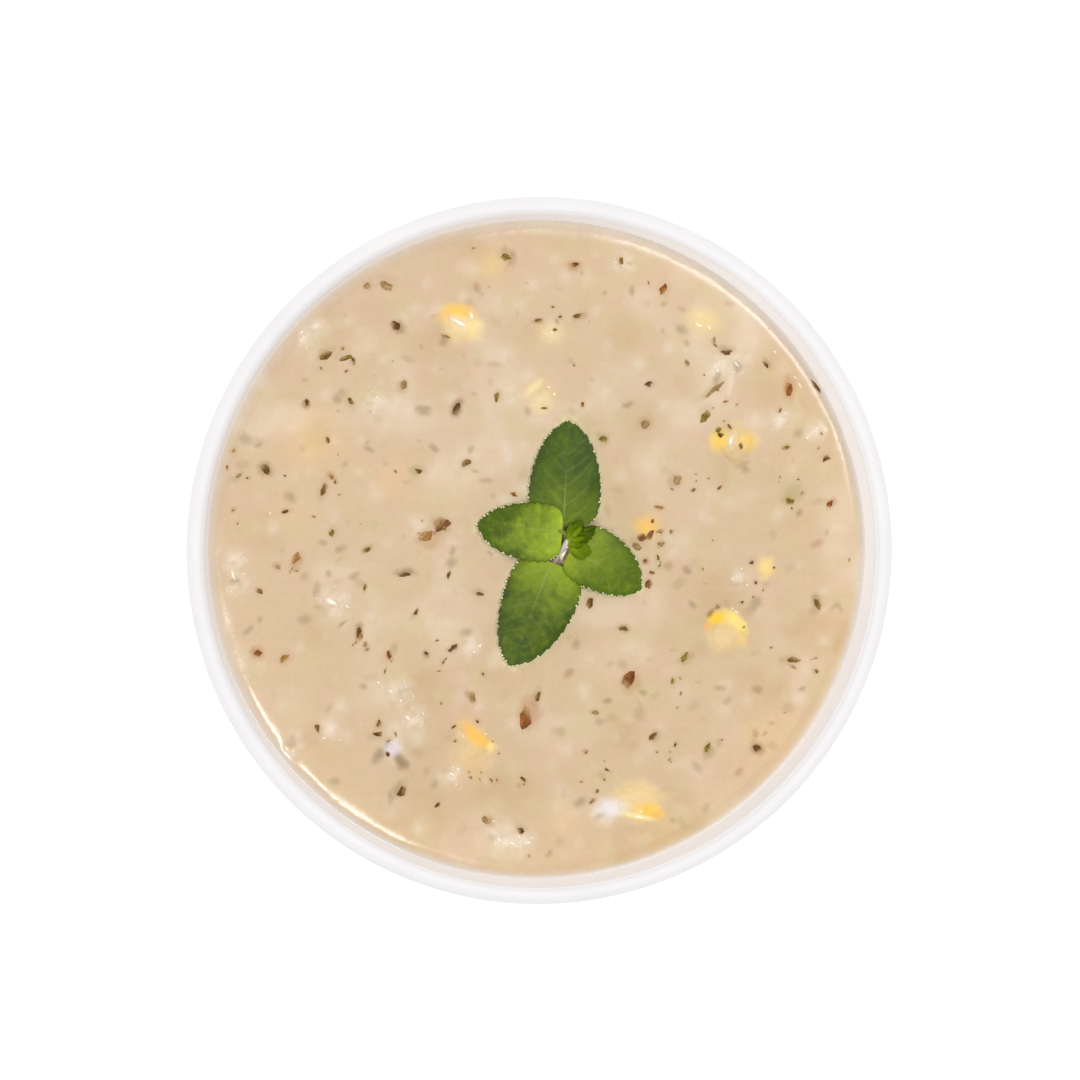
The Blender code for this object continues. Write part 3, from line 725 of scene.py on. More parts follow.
def build_bowl(finish):
    points, faces = turned(bowl_profile(), BOWL_SEGMENTS)
    # The side seam: one edge of the card laps over the other on the outside
    turn = np.degrees(np.arctan2(points[:, 1], points[:, 0]))
    radius = np.hypot(points[:, 0], points[:, 1])
    outside = radius > wall_inside(points[:, 2]) + 0.5 * WALL_THICKNESS
    on_wall = outside & (points[:, 2] > 0.5) & (points[:, 2] < BOWL_HEIGHT - 3.2)
    lap = smooth(*SEAM_STEP_TURNS, turn) * (1 - smooth(*SEAM_FADE_TURNS, turn))
    grown = 1 + SEAM_HEIGHT * lap * on_wall / np.maximum(radius, 1)
    points[:, 0] *= grown
    points[:, 1] *= grown
    inner = (radius < wall_inside(points[:, 2]) + 0.3) & (points[:, 2] > FLOOR_UNDERSIDE)
    roll_middle = RIM_RADIUS - ROLL_RADIUS
    on_roll = (points[:, 2] > BOWL_HEIGHT - ROLL_RADIUS) & ~inner
    top = ROLL_GLOW_TOP * smooth(roll_middle - 1.2, roll_middle - 0.4, radius)
    top = top + ROLL_GLOW_OUTSIDE * smooth(roll_middle + 0.2, RIM_RADIUS, radius)
    falls = 1 - smooth(roll_middle - 0.9, roll_middle + 0.2, radius)
    # Painted glow, brightest at the two sides that the lamps stand on and least in the painted shade
    # at the upper left
    right, left = towards(turn, GLOW_RIGHT_TURN), towards(turn, GLOW_LEFT_TURN)
    sides = GLOW_RIGHT * right**3 + ROLL_GLOW_LEFT * left**4
    lit = GLOW_EVEN + GLOW_RIGHT * right - GLOW_SHADE * towards(turn, CARD_SHADE_TURN)
    through = inner * lit * (1 - GLOW_UNDER_ROLL * smooth(*UNDER_ROLL, points[:, 2]))
    through = through + on_roll * (falls * sides + top)
    glow = np.array(CARD_GLOW) * (PAINTED_GLOW_SHARE * through)[:, None]
    bowl = make_mesh("soup_bowl", points, faces, glow, "white_card", finish)
    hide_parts("bowl")
    return bowl


# Soup

def relief(x, y):
    """Height of the soup's surface over its level, as the solid has it."""
    height = np.sin(x / 7.3 + 0.4) * np.cos(y / 8.1 - 0.9)
    height += 0.6 * np.sin(x / 3.9 - y / 4.7)
    height *= SWELL
    for lump in LUMPS:
        height += LUMP_SLOPE * lump[2] * np.exp(-(away_from(lump, x, y) ** 2))
    from_wall = np.maximum(wall_inside(SOUP_LEVEL) - np.hypot(x, y), 0)
    return height + MENISCUS_RISE * np.exp(-from_wall / MENISCUS_REACH)


def small_lumps():
    """Bits of potato and cream, smaller than the solid has: x, y, radius, height."""
    draw = random.Random(BIT_SEED)
    found = []
    for lump_x, lump_y, radius in LUMPS:
        for _ in range(BITS_PER_LUMP):
            turn, away = draw.uniform(0, math.tau), radius * draw.uniform(0.1, 1.2)
            size = draw.uniform(0.25, 0.7)
            x, y = lump_x + away * math.cos(turn), lump_y + away * math.sin(turn)
            found.append((x, y, size, size * draw.uniform(0.05, 0.2)))
    # A steep bump beside the near leaf, painted pale through the lumps' colour as a painted highlight
    found.append((6.9, -7.0, 0.75, 0.3))
    for _ in range(LOOSE_BITS):
        away, turn = 51 * math.sqrt(draw.random()), draw.uniform(0, math.tau)
        size = draw.uniform(0.2, 1.3)
        lift = size * draw.uniform(0.02, 0.13)
        if draw.random() < 0.06:
            size, lift = 0.26, 0.06
        found.append((away * math.cos(turn), away * math.sin(turn), size, lift))
    return found


def kernel_taper(along):
    """Width of a kernel as a share, from its narrow tip at -1 to its crown at 1."""
    return 0.45 + 0.55 * np.minimum(1, np.maximum(along + 1, 0) / 1.2) ** 0.7


def kernel_height(kernel, x, y):
    """Height of a kernel's upper face over the soup's level, falling away beyond it."""
    rise, size, proud = math.radians(kernel[3]), kernel[4], kernel[5]

    def shape(along, across):
        taper = kernel_taper(along)
        out = np.hypot(along, across / taper)
        flat = (1 - np.minimum(out, 1) ** (2 / KERNEL_SQUARENESS)) ** (KERNEL_SQUARENESS / 2)
        dent = 0.22 * np.maximum(0, along) * np.exp(-((across / taper / 0.3) ** 2))
        face = KERNEL_HALF[2] * size * flat * (0.75 + 0.25 * taper) * (1 - dent)
        tilted = face * math.cos(rise) + KERNEL_HALF[0] * size * along * math.sin(rise)
        return tilted - 3 * np.maximum(out - 1, 0)

    spread = np.linspace(-1, 1, 41)
    peak = shape(spread[None, :], spread[:, None]).max()
    return proud - peak + shape(*kernel_frame(kernel, x, y))


def fine_relief(x, y):
    """The solid's surface with its small lumps and a slight unevenness."""
    height = relief(x, y)
    for lump_x, lump_y, radius, lift in small_lumps():
        away = ((x - lump_x) ** 2 + (y - lump_y) ** 2) / radius**2
        height = height + np.where(away < 9, lift * np.exp(-away), 0)
    from_wall = wall_inside(SOUP_LEVEL) - np.hypot(x, y)
    calm = smooth(0.5, 4.0, from_wall)
    height = height + calm * (0.025 * noise(x, y, 2.6, 3) + 0.012 * noise(x, y, 1.1, 4))
    height = height + MENISCUS_WAVE * noise(x, y, 5.0, 44) * np.exp(-(((from_wall - 1.6) / 1.1) ** 2))
    # The soup climbs a little up the kernels
    for kernel in KERNELS:
        near = np.hypot(x - kernel[0], y - kernel[1]) < KERNEL_REACH
        face = kernel_height(kernel, x[near], y[near]) - 0.1
        height[near] = np.logaddexp(5 * height[near], 5 * face) / 5
    return height


def top_height(x, y):
    """The height of what lies on top, soup or kernel, over the soup's level."""
    height = fine_relief(x, y)
    for kernel in KERNELS:
        near = np.hypot(x - kernel[0], y - kernel[1]) < KERNEL_REACH
        height[near] = np.maximum(height[near], kernel_height(kernel, x[near], y[near]))
    return height


def build_glints(finish):
    """Small ragged faces of wet cream that lean towards the lights."""
    draw = random.Random(GLINT_SEED)
    corners = GLINT_CORNERS
    angles = np.arange(corners) * math.tau / corners
    shapes = []
    places = list(GLINTS)
    for x, y, radius in LUMPS:
        for _ in range(TINY_GLINTS):
            away, around = radius * draw.uniform(0.1, 1.3), draw.uniform(0, math.tau)
            x_near, y_near = x + away * math.cos(around), y + away * math.sin(around)
            size = draw.uniform(0.3, 0.7)
            places.append((x_near, y_near, size, 0.6 * size, draw.uniform(-80, 10), 0))
    for x, y, length, width, turn, lift in places:
        turn = math.radians(turn)
        lean = GLINT_SLOPE[0] - x / LIGHT_DISTANCE, GLINT_SLOPE[1] - y / LIGHT_DISTANCE
        ragged = np.array([draw.uniform(0.7, 1.15) for _ in range(corners)])
        rings = [[(x, y, 0)]]
        for share, dome, drop in GLINT_RINGS:
            along = share * ragged * np.cos(angles) * length / 2
            across = share * ragged * np.sin(angles) * width / 2
            dx, dy = rotate(along, across, turn)
            fall = 0.8 * dome * width + drop
            rings.append(np.c_[x + dx, y + dy, -lean[0] * dx - lean[1] * dy - fall])
        points = np.concatenate(rings)
        points[:, 2] += SOUP_LEVEL + lift + 0.02 + 0.5 * width * math.hypot(*lean)
        shapes.append(points)
    every = np.concatenate(shapes)
    ground = top_height(every[:, 0], every[:, 1]).reshape(len(shapes), -1)
    # The faces are painted paler than the cream round them: partly the pale potato they lie on,
    # partly a painted highlight
    colours = mix(soup_tint(every[:, 0], every[:, 1]), linear(LUMP_PALE), 0.45)
    colours = colours.reshape(len(shapes), -1, 3)
    parts = []
    rows = ring_rows(corners, len(GLINT_RINGS))
    faces = fan(0, rows[0])
    for low, high in zip(rows, rows[1:]):
        faces += band(low, high)
    for points, heights, tints in zip(shapes, ground, colours):
        points[:, 2] += heights[: 2 * corners].mean()
        parts.append((points, faces, tints))
    return make_mesh("cream_glints", *join_parts(parts), "chowder", finish)


def ring_grid(radii, counts):
    """Rings of points round the axis, each with its own count, and the faces between."""
    points = [(0.0, 0.0)]
    rows = [np.array([0])]
    faces = []
    for radius, count in zip(radii, counts):
        turns = np.arange(count) * math.tau / count
        start = len(points)
        points += list(zip(radius * np.cos(turns), radius * np.sin(turns)))
        rows.append(np.arange(start, start + count))
    for low, high in zip(rows, rows[1:]):
        if len(low) == 1:
            faces += fan(low[0], high)
        elif len(low) == len(high):
            faces += band(low, high)
        else:
            wide = np.roll(low, -1)
            first, middle, last = high[0::2], high[1::2], np.roll(high, -2)[0::2]
            faces += np.stack([low, first, middle], 1).tolist()
            faces += np.stack([low, middle, wide], 1).tolist()
            faces += np.stack([wide, middle, last], 1).tolist()
    return np.array(points), faces, rows[-1]


def soup_rings():
    """Radii of the rings, close together at the wall, and the points in each."""
    edge = wall_inside(SOUP_LEVEL + MENISCUS_RISE) + 0.12
    radii = []
    from_wall = edge - 0.5
    while from_wall > 0.06:
        radii.append(edge - from_wall)
        from_wall -= min(RING_WIDEST, max(RING_NARROWEST, RING_GROWTH * from_wall))
    radii.append(edge)
    counts = []
    for radius in radii:
        count = 40
        while count < 640 and math.tau * radius / count > RING_STEP:
            count *= 2
        counts.append(max(count, counts[-1] if counts else 0))
    return radii, counts


def kernel_frame(kernel, x, y):
    """Place along and across a kernel, as shares of its half sizes."""
    kernel_x, kernel_y, turn, _, size = kernel[:5]
    along, across = rotate(x - kernel_x, y - kernel_y, -math.radians(turn))
    return along / (KERNEL_HALF[0] * size), across / (KERNEL_HALF[1] * size)


def corn_colour(number, x, y, under):
    """Lays a kernel's yellow over the soup's colour, through the film of cream on it."""
    kernel = KERNELS[number]
    strength, edge, soft = KERNEL_COVER[number]
    along, across = kernel_frame(kernel, x, y)
    depth = np.maximum(relief(x, y) - kernel_height(kernel, x, y), 0)
    ragged = 0.22 * noise(x, y, 1.3, 23) + 0.12 * noise(x, y, 0.5, 24)
    bare = smooth(edge - 0.5, edge + 0.45, along + ragged)
    film = 0.85 * np.exp(-depth / 0.45) + 0.15 * np.exp(-depth / 1.8)
    taper = kernel_taper(along)
    out = np.hypot(along, across / taper) + 0.3 * soft * ragged
    film = film * (1 - smooth(1 - soft, 1 + 0.6 * soft, out))
    patch = 0.5 + 0.5 * noise(x, y, 1.7, 21)
    share = strength * film * (0.22 + 0.78 * bare) * (0.8 + 0.2 * patch)
    vivid = 0.6 * smooth(-0.4, 0.8, along + ragged) * (0.45 + 0.55 * patch) * bare
    yellow = mix(linear(CORN_PALE), linear(CORN_VIVID), vivid)
    return mix(under, yellow, np.clip(share, 0, 1))


def add_corn(colour, x, y):
    """All kernels over the soup's colour, with their bare parts, the pale bits and the painted
    highlights and shade.
    """
    for number, kernel in enumerate(KERNELS):
        near = np.hypot(x - kernel[0], y - kernel[1]) < KERNEL_PAINT_REACH
        colour[near] = corn_colour(number, x[near], y[near], colour[near])
    for *spot, turn, strength, soft, tone in PATCHES:
        soft_spot(colour, x, y, (*spot, math.radians(turn), strength), tone, soft)
    return colour


def soup_colour(x, y):
    """The cream without kernels: clouds, lumps and sunk corn."""
    colour = np.tile(linear(SOUP), (len(x), 1))
    colour = mix(colour, linear(SOUP_PALE), 0.75 * smooth(-0.1, 0.8, noise(x, y, 6.5, 5)))
    colour = mix(colour, linear(SOUP_DEEP), 0.6 * smooth(0.0, 0.8, noise(x, y, 8.5, 6)))
    colour = mix(colour, linear(SOUP_DEEP), 0.22 * (1 - smooth(-50, 15, y)))
    colour = mix(colour, linear(SOUP_PINK), 0.5 * smooth(-0.2, 0.8, noise(x, y, 3.6, 7)))
    colour = mix(colour, linear(SOUP_GREEN), 0.6 * smooth(-0.1, 0.8, noise(x, y, 3.1, 8)))
    for *cloud, strength, tone in CLOUDS:
        colour = mix(colour, linear(tone), strength * np.exp(-(away_from(cloud, x, y) ** 2)))
    curd = 0.4 * noise(x, y, 1.2, 9) + 0.35 * noise(x, y, 0.55, 10)
    for lump in LUMPS:
        patch = np.exp(-(away_from(lump, x, y) ** 2)) * (0.6 + curd)
        colour = mix(colour, linear(LUMP_PALE), np.clip(0.75 * patch, 0, 1))
    for lump_x, lump_y, radius, lift in small_lumps():
        away = ((x - lump_x) ** 2 + (y - lump_y) ** 2) / radius**2
        show = np.where(away < 6, np.exp(-away) * min(1, 5 * lift), 0)
        colour = mix(colour, linear(LUMP_PALE), 0.5 * show)
    for *corn, strength in SUNK_CORN:
        patch = np.exp(-(away_from(corn, x, y) ** 2)) * (0.75 + 0.25 * noise(x, y, 2.2, 12))
        colour = mix(colour, linear(SUNK_CORN_COLOUR), np.clip(strength * patch, 0, 1))
    return colour


def sunk_flakes():
    """Herbs under the surface, seen as soft spots: x, y, length, width, turn, strength."""
    draw = random.Random(SUNK_SEED)
    found = []
    for _ in range(SUNK_FLAKES):
        away, turn = 52 * math.sqrt(draw.random()), draw.uniform(0, math.tau)
        length = draw.uniform(0.7, 2.4)
        width = length * draw.uniform(0.35, 0.8)
        place = (away * math.cos(turn), away * math.sin(turn))
        kind = draw.choice(("grey", "grey", "green", "brown", "rust"))
        turn, strength = draw.uniform(0, math.pi), draw.uniform(0.1, 0.58)
        found.append((*place, length, width, turn, strength, kind))
    # The grey spots beside the pale cap at the near left, and a few others that stand out
    found += [
        (-26.5, -34.1, 2.6, 1.8, 0.9, 0.75, "grey"),
        (-23.0, -34.9, 3.0, 1.6, 2.2, 0.80, "grey"),
        (-25.0, -32.2, 1.8, 1.1, 1.0, 0.50, "brown"),
        (-32.9, 0.3, 1.8, 1.4, 0.3, 0.40, "grey"),
        (-38.9, -11.4, 2.0, 1.6, 0.2, 0.45, "grey"),
        (-24.0, -16.4, 1.8, 1.2, 1.3, 0.35, "grey"),
        (21.8, -2.7, 1.8, 1.3, 0.2, 0.40, "rust"),
        (43.7, 19.4, 1.7, 1.4, 0.5, 0.40, "grey"),
        (42.8, 9.6, 3.4, 3.0, 0.5, 0.30, "green"),
        (17.0, -27.3, 2.2, 1.9, 1.6, 0.35, "green"),
        (-2.5, 12.6, 2.4, 1.6, 1.3, 0.18, "grey"),
    ]
    return found


SUNK_COLOURS = {
    "grey": (146, 121, 84),
    "green": (150, 134, 72),
    "brown": (128, 98, 58),
    "rust": (158, 104, 62),
}


def soft_spot(colour, x, y, spot, tone, soft):
    """Paints a blurred ragged spot: x, y, length, width, turn and strength."""
    spot_x, spot_y, length, width, turn, strength = spot
    near = np.hypot(x - spot_x, y - spot_y) < 1.2 * length + 0.4
    along, across = rotate(x[near] - spot_x, y[near] - spot_y, -turn)
    edge = np.sqrt((along / length * 2) ** 2 + (across / width * 2) ** 2)
    edge += 0.25 * noise(x[near], y[near], 0.6, 31)
    share = strength * (1 - smooth(1 - soft, 1 + soft, edge))
    colour[near] = mix(colour[near], linear(tone), share)


def add_sunk_flakes(colour, x, y):
    for spot in sunk_flakes():
        soft_spot(colour, x, y, spot[:6], SUNK_COLOURS[spot[6]], 0.6)
    # Each flake on top has a blurred part that is already under the surface
    draw = random.Random(FLAKE_SEED + 13)
    for flake_x, flake_y, length, width, turn, kind in [*flake_list(), *speck_list(), *MORE_FLAKES]:
        shift, way = draw.uniform(0, 0.3) * length, draw.uniform(0, math.tau)
        place = (flake_x + shift * math.cos(way), flake_y + shift * math.sin(way))
        spot = (*place, 1.2 * length, 1.35 * width, math.radians(turn), draw.uniform(0.15, 0.7))
        soft_spot(colour, x, y, spot, FLAKE_COLOURS[kind][1], 0.6)
    return colour


def soup_tint(x, y):
    colour = soup_colour(x, y)
    colour = add_sunk_flakes(colour, x, y)
    colour = add_corn(colour, x, y)
    # Cream gathers at the leaves and is painted pale there: partly its own colour, partly painted
    # light that lifts the shade at their edges
    pale_rim = np.exp(-leaf_gap(x, y) / 0.45) * (0.75 + 0.25 * noise(x, y, 0.8, 42))
    colour = mix(colour, linear(LEAF_RIM), 0.8 * pale_rim)
    # The film is thin where it climbs the white wall and is painted pale there; how far in and how
    # strongly it shows changes round the bowl as painted light and shade, least in the shade at the
    # upper left
    from_wall = wall_inside(SOUP_LEVEL) - np.hypot(x, y)
    turn = np.degrees(np.arctan2(y, x))
    shade = towards(turn, CARD_SHADE_TURN)
    reach = 0.95 + 0.45 * np.cos(np.radians(turn - FILM_WIDE_TURN))
    film = np.exp(-((np.maximum(from_wall, 0) / reach) ** 1.3)) * (1 - 0.55 * shade)
    return mix(colour, linear(THIN_FILM), film)


def build_soup(finish):
    radii, counts = soup_rings()
    flat, faces, rim = ring_grid(radii, counts)
    x, y = flat[:, 0], flat[:, 1]
    surface = fine_relief(x, y) + wet_edges(x, y)
    top = np.c_[x, y, SOUP_LEVEL + surface]
    colour = soup_tint(x, y)
    # Down the wall and across the bowl's floor
    low = FLOOR_UNDERSIDE + FLOOR_THICKNESS + 0.3
    points, colours = [top], [colour]
    count, start, above = len(rim), len(top), rim
    direction = flat[rim] / np.hypot(*flat[rim].T)[:, None]
    for radius, z in ((wall_inside(low + 1.3) - 0.02, low + 1.3), (wall_inside(low) - 1.3, low)):
        points.append(np.c_[direction * radius, np.full(count, z)])
        colours.append(np.tile(linear(SOUP), (count, 1)))
        below = np.arange(start, start + count)
        faces += band(above, below)
        above, start = below, start + count
    faces.append(above[::-1].tolist())
    points, colours = np.concatenate(points), np.concatenate(colours)
    # Glossy where the film climbs the wall, and softer further in
    from_wall = wall_inside(SOUP_LEVEL) - np.hypot(points[:, 0], points[:, 1])
    rough = ROUGH_CREAM + (ROUGH_FILM - ROUGH_CREAM) * (1 - smooth(*SHINE_BAND, from_wall))
    soup = make_mesh("chowder", points, faces, np.c_[colours, rough], "chowder", finish)
    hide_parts("soup")
    return soup


# Kernels

def kernel_shape(size, segments=64, rows=40):
    """A kernel along X: a broad dented crown at +X and a narrow tip at -X."""
    points, faces = ball(segments, rows, KERNEL_SQUARENESS)
    along, across, up = points.T
    taper = kernel_taper(along)
    crown = np.maximum(0, along)
    dent = 0.22 * crown * np.exp(-((across / 0.3) ** 2))
    shaped = np.c_[
        KERNEL_HALF[0] * size * (along - 0.12 * crown * crown),
        KERNEL_HALF[1] * size * across * taper,
        KERNEL_HALF[2] * size * up * (0.75 + 0.25 * taper) * (1 - dent),
    ]
    return shaped, faces


def build_kernel(number, kernel, finish):
    x, y, turn, rise, size, proud = kernel[:6]
    points, faces = kernel_shape(size)
    skin = 0.03 * noise(points[:, 0] + 3 * number, points[:, 1], 1.6, 71)
    skin = skin + 0.012 * noise(points[:, 0] + 3 * number, points[:, 1], 0.7, 72)
    points = points * (1 + skin)[:, None]
    rotation = Matrix.Rotation(math.radians(turn), 3, "Z")
    rotation @= Matrix.Rotation(-math.radians(rise), 3, "Y")
    points = points @ np.array(rotation).T
    points += (x, y, SOUP_LEVEL + proud - points[:, 2].max())
    cream = soup_colour(points[:, 0], points[:, 1])
    colours = add_corn(cream, points[:, 0], points[:, 1])
    name = f"corn_kernel_{number:02d}"
    piece = make_mesh(f"sweet_{name}", points, faces, colours, "sweet_corn", finish)
    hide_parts(name)
    return piece


# Mint

def leaf_width(t):
    """Share of the full half width, from the blunt base at 0 to the point at 1."""
    peak = LEAF_BASE_POWER / (LEAF_BASE_POWER + LEAF_TIP_POWER)
    widest = peak**LEAF_BASE_POWER * (1 - peak) ** LEAF_TIP_POWER
    pointed = 1 - LEAF_TIP_POINT * t**8
    return pointed * t**LEAF_BASE_POWER * (1 - t) ** LEAF_TIP_POWER / widest


def fine_width(t):
    """The same with the last bit of the leaf drawn out to a sharp point."""
    return leaf_width(t) * (1 - np.exp(-(1 - t) / 0.035))


def leaf_place(leaf, x, y):
    """Place along a leaf and to its left in mm, its half width there, and its length."""
    base, tip, widths = leaf[:3]
    line = np.array(tip) - np.array(base)
    length = np.hypot(*line)
    along = ((x - base[0]) * line[0] + (y - base[1]) * line[1]) / length
    across = ((y - base[1]) * line[0] - (x - base[0]) * line[1]) / length
    t = np.clip(along / length, LEAF_END, 1 - LEAF_END)
    half_width = np.where(across > 0, widths[0], widths[1]) * leaf_width(t)
    return along, across, half_width, length


def under_leaf(x, y, margin, names=tuple(LEAVES)):
    """True if the place is under a leaf or closer than the margin to its outline."""
    for name in names:
        along, across, half_width, length = leaf_place(LEAVES[name], x, y)
        if -margin < along < length + margin and abs(across) < half_width + margin:
            return True
    return False


def leaf_gap(x, y):
    """Distance in mm to the nearest leaf's outline, 0 under a leaf."""
    nearest = np.full(len(x), 99.0)
    for leaf in LEAVES.values():
        along, across, half_width, length = leaf_place(leaf, x, y)
        beyond = np.maximum(np.maximum(along - length, -along), 0)
        gap = np.hypot(np.maximum(np.abs(across) - half_width, 0), beyond)
        nearest = np.minimum(nearest, gap)
    return nearest


def wet_edges(x, y):
    """The soup climbs a little to the edges of the leaves that touch it."""
    lift = 0.2 * np.exp(-leaf_gap(x, y) / 0.4)
    return lift * (0.45 + 0.55 * noise(x, y, 0.9, 41))


def leaf_arrays(leaf, rows, columns, teeth, tooth_depth):
    """Points of a leaf's middle with, for each, its t, side and place in mm."""
    base, tip, widths, heights, droop = leaf
    line = np.array(tip) - np.array(base)
    length = np.hypot(*line)
    left = np.array((-line[1], line[0])) / length
    t = ((1 - np.cos(np.linspace(0, math.pi, rows + 1))) / 2)[1:-1, None]
    side = np.linspace(-1, 1, columns + 1)[None, :]
    t, side = np.broadcast_arrays(t, side)
    half_width = np.where(side > 0, widths[0], widths[1])
    width = fine_width(t)
    phase = teeth * t + np.where(side > 0, 0.0, 0.45)
    notch = (phase - np.floor(phase) - 0.5) * tooth_depth
    notch = notch * smooth(0.06, 0.2, t) * (1 - smooth(0.93, 1.0, t))
    across = side * half_width * width + np.sign(side) * notch * np.abs(side) ** 10
    flat = np.array(base) + line * t[..., None] + left * across[..., None]
    arch = heights[0] * (1 - t) ** 2 + 2 * heights[1] * t * (1 - t) + heights[2] * t * t
    arch = arch - droop * (side * width) ** 2
    arch = arch + 0.06 * np.sin(9 * t + 4 * side) * np.abs(side)
    return flat, arch, t, side, t * length, across


def veins(along, across, seed):
    """Strength of the midrib and its curved branches, for a leaf 17 mm long."""
    out = np.abs(across)
    midrib = np.exp(-((across / 0.15) ** 2)) * (1 - 0.92 * smooth(2.0, 10.0, along))
    draw = random.Random(seed)
    branch = np.zeros_like(along)
    for side in (-1, 1):
        for number in range(5):
            start = 0.6 + 2.6 * number + draw.uniform(-0.5, 0.5)
            slant, curl = draw.uniform(0.5, 0.85), draw.uniform(0.03, 0.09)
            line = start + slant * out + curl * out**2 + 0.25 * noise(along, across, 1.3, seed)
            away = np.abs(along - line) * 0.75
            fade = (1 - smooth(2.0, 5.5, out)) * draw.uniform(0.5, 1.0) * (across * side > 0)
            branch = np.maximum(branch, np.exp(-((away / 0.12) ** 2)) * fade)
    return midrib, branch


def leaf_mesh_parts(leaf, looks, rows, columns, teeth, tooth_depth):
    """Points, faces and colours of a thin closed leaf with veins and a toothed edge."""
    dark, light, glow, seed = looks
    flat, arch, t, side, along, across = leaf_arrays(leaf, rows, columns, teeth, tooth_depth)
    length = math.hypot(leaf[1][0] - leaf[0][0], leaf[1][1] - leaf[0][1])
    scale = length / LEAF_LENGTH
    midrib, branch = veins(along / scale, across / scale, seed)
    quilt = 0.1 * scale * (np.abs(noise(along, across, 1.4 * scale, seed)) - 0.3)
    quilt = quilt + 0.05 * scale * noise(along, across, 0.8 * scale, seed + 2)
    arch = arch + quilt * (1 - smooth(0.85, 1, np.abs(side)))
    arch = arch - 0.12 * scale * midrib - 0.07 * scale * branch
    share = glow * np.exp(-along / (0.33 * length)) + 0.14 * noise(along, across, 2.6, seed + 1)
    share = share + 0.12 * noise(along, across, 0.9, seed + 3)
    # The fine net of veins between the branches
    net = np.abs(noise(along, across, 0.9 * scale, seed + 5))
    share = share + 0.18 * (1 - smooth(0.0, 0.16, net))
    share = share - 0.25 * smooth(0.6, 1.0, np.abs(side))
    colour = mix(linear(dark), linear(light), np.clip(share, 0, 1))
    vein = linear(LEAF_VEIN)
    colour = mix(colour, vein, np.clip(0.55 * midrib, 0, 1))
    colour = mix(colour, vein, np.clip(0.36 * branch * (1 - 0.6 * t), 0, 1))
    colour = mix(colour, linear(LEAF_EDGE), 0.45 * smooth(0.93, 1.0, np.abs(side)))
    grid_rows, grid_columns = t.shape
    end_colours = np.array([linear(light), linear(dark)])
    sheets, tints = [], []
    for lift in (LEAF_THICKNESS / 2, -LEAF_THICKNESS / 2):
        body = np.dstack([flat, SOUP_LEVEL + arch + lift]).reshape(-1, 3)
        base = (*leaf[0], SOUP_LEVEL + leaf[3][0] + lift)
        tip = (*leaf[1], SOUP_LEVEL + leaf[3][2] + lift)
        sheets.append(np.concatenate([body, [base, tip]]))
        tints.append(np.concatenate([colour.reshape(-1, 3), end_colours]))
    count = len(sheets[0])
    index = np.arange(grid_rows * grid_columns).reshape(grid_rows, grid_columns)
    base_index, tip_index = count - 2, count - 1
    faces = []
    for row in range(grid_rows - 1):
        near, far = index[row], index[row + 1]
        faces += [(near[k + 1], near[k], far[k], far[k + 1]) for k in range(grid_columns - 1)]
    faces += [(base_index, index[0, k + 1], index[0, k])[::-1] for k in range(grid_columns - 1)]
    faces += [(tip_index, index[-1, k], index[-1, k + 1])[::-1] for k in range(grid_columns - 1)]
    lower = [tuple(corner + count for corner in face[::-1]) for face in faces]
    edge = [base_index, *index[:, 0], tip_index, *index[::-1, -1]]
    rim = []
    for position, corner in enumerate(edge):
        after = edge[(position + 1) % len(edge)]
        rim.append((corner, after, after + count, corner + count))
    return np.concatenate(sheets), faces + lower + rim, np.concatenate(tints)


def tube_parts(path, radius, colour_start, colour_end, sides=20, steps=24):
    """A smooth round stalk through the path's points, with rounded ends."""
    knots = np.array(path, float) + (0, 0, SOUP_LEVEL)
    spots = np.linspace(0, len(knots) - 1, steps)
    points, colours = [], []
    for order, spot in enumerate(spots):
        low = min(int(spot), len(knots) - 2)
        share = spot - low
        before = knots[max(low - 1, 0)]
        after = knots[min(low + 2, len(knots) - 1)]
        here, there = knots[low], knots[low + 1]
        centre = 0.5 * (
            2 * here
            + (there - before) * share
            + (2 * before - 5 * here + 4 * there - after) * share**2
            + (3 * here - before - 3 * there + after) * share**3
        )
        way = Vector(there - here).normalized()
        turn = way.to_track_quat("Z", "X")
        end = min(order, steps - 1 - order)
        size = radius * min(1, 0.55 + 0.25 * end)
        shade = order / (steps - 1)
        for k in range(sides):
            angle = math.tau * k / sides
            square = 1 + 0.07 * math.cos(4 * angle)
            offset = turn @ Vector((math.cos(angle), math.sin(angle), 0)) * size * square
            points.append(centre + np.array(offset))
            colours.append(mix(linear(colour_start), linear(colour_end), shade))
    faces = []
    for row in range(steps - 1):
        low, high = row * sides, (row + 1) * sides
        for k in range(sides):
            after = (k + 1) % sides
            faces.append((low + k, low + after, high + after, high + k))
    faces.append(tuple(range(sides))[::-1])
    faces.append(tuple(range((steps - 1) * sides, steps * sides)))
    return np.array(points), faces, np.array(colours)


LEAF_LOOKS = {
    "far": ((63, 84, 21), (112, 136, 20), 1.0, 51),
    "near": ((64, 86, 18), (144, 165, 36), 1.05, 52),
    "left": ((74, 96, 8), (174, 198, 46), 0.95, 53),
    "right": ((84, 107, 10), (144, 164, 34), 1.1, 54),
}
BUD_LOOKS = {
    "upper": ((66, 88, 2), (104, 128, 8), 0.8, 61),
    "lower": ((90, 114, 4), (130, 154, 18), 1.0, 62),
    "inner": ((98, 124, 4), (138, 162, 20), 1.0, 63),
    "outer": ((78, 102, 2), (122, 146, 12), 0.9, 64),
    "tip": ((60, 82, 2), (96, 120, 8), 0.6, 65),
    "crown": ((74, 98, 4), (122, 148, 30), 0.8, 66),
    "side": ((92, 116, 8), (128, 150, 36), 0.9, 67),
    "curl": ((56, 78, 2), (92, 116, 10), 0.7, 68),
    "lobe": ((88, 112, 2), (132, 158, 18), 1.0, 69),
    "heart": ((92, 120, 2), (130, 156, 14), 1.0, 70),
    "young": ((100, 126, 4), (140, 166, 30), 1.0, 71),
}


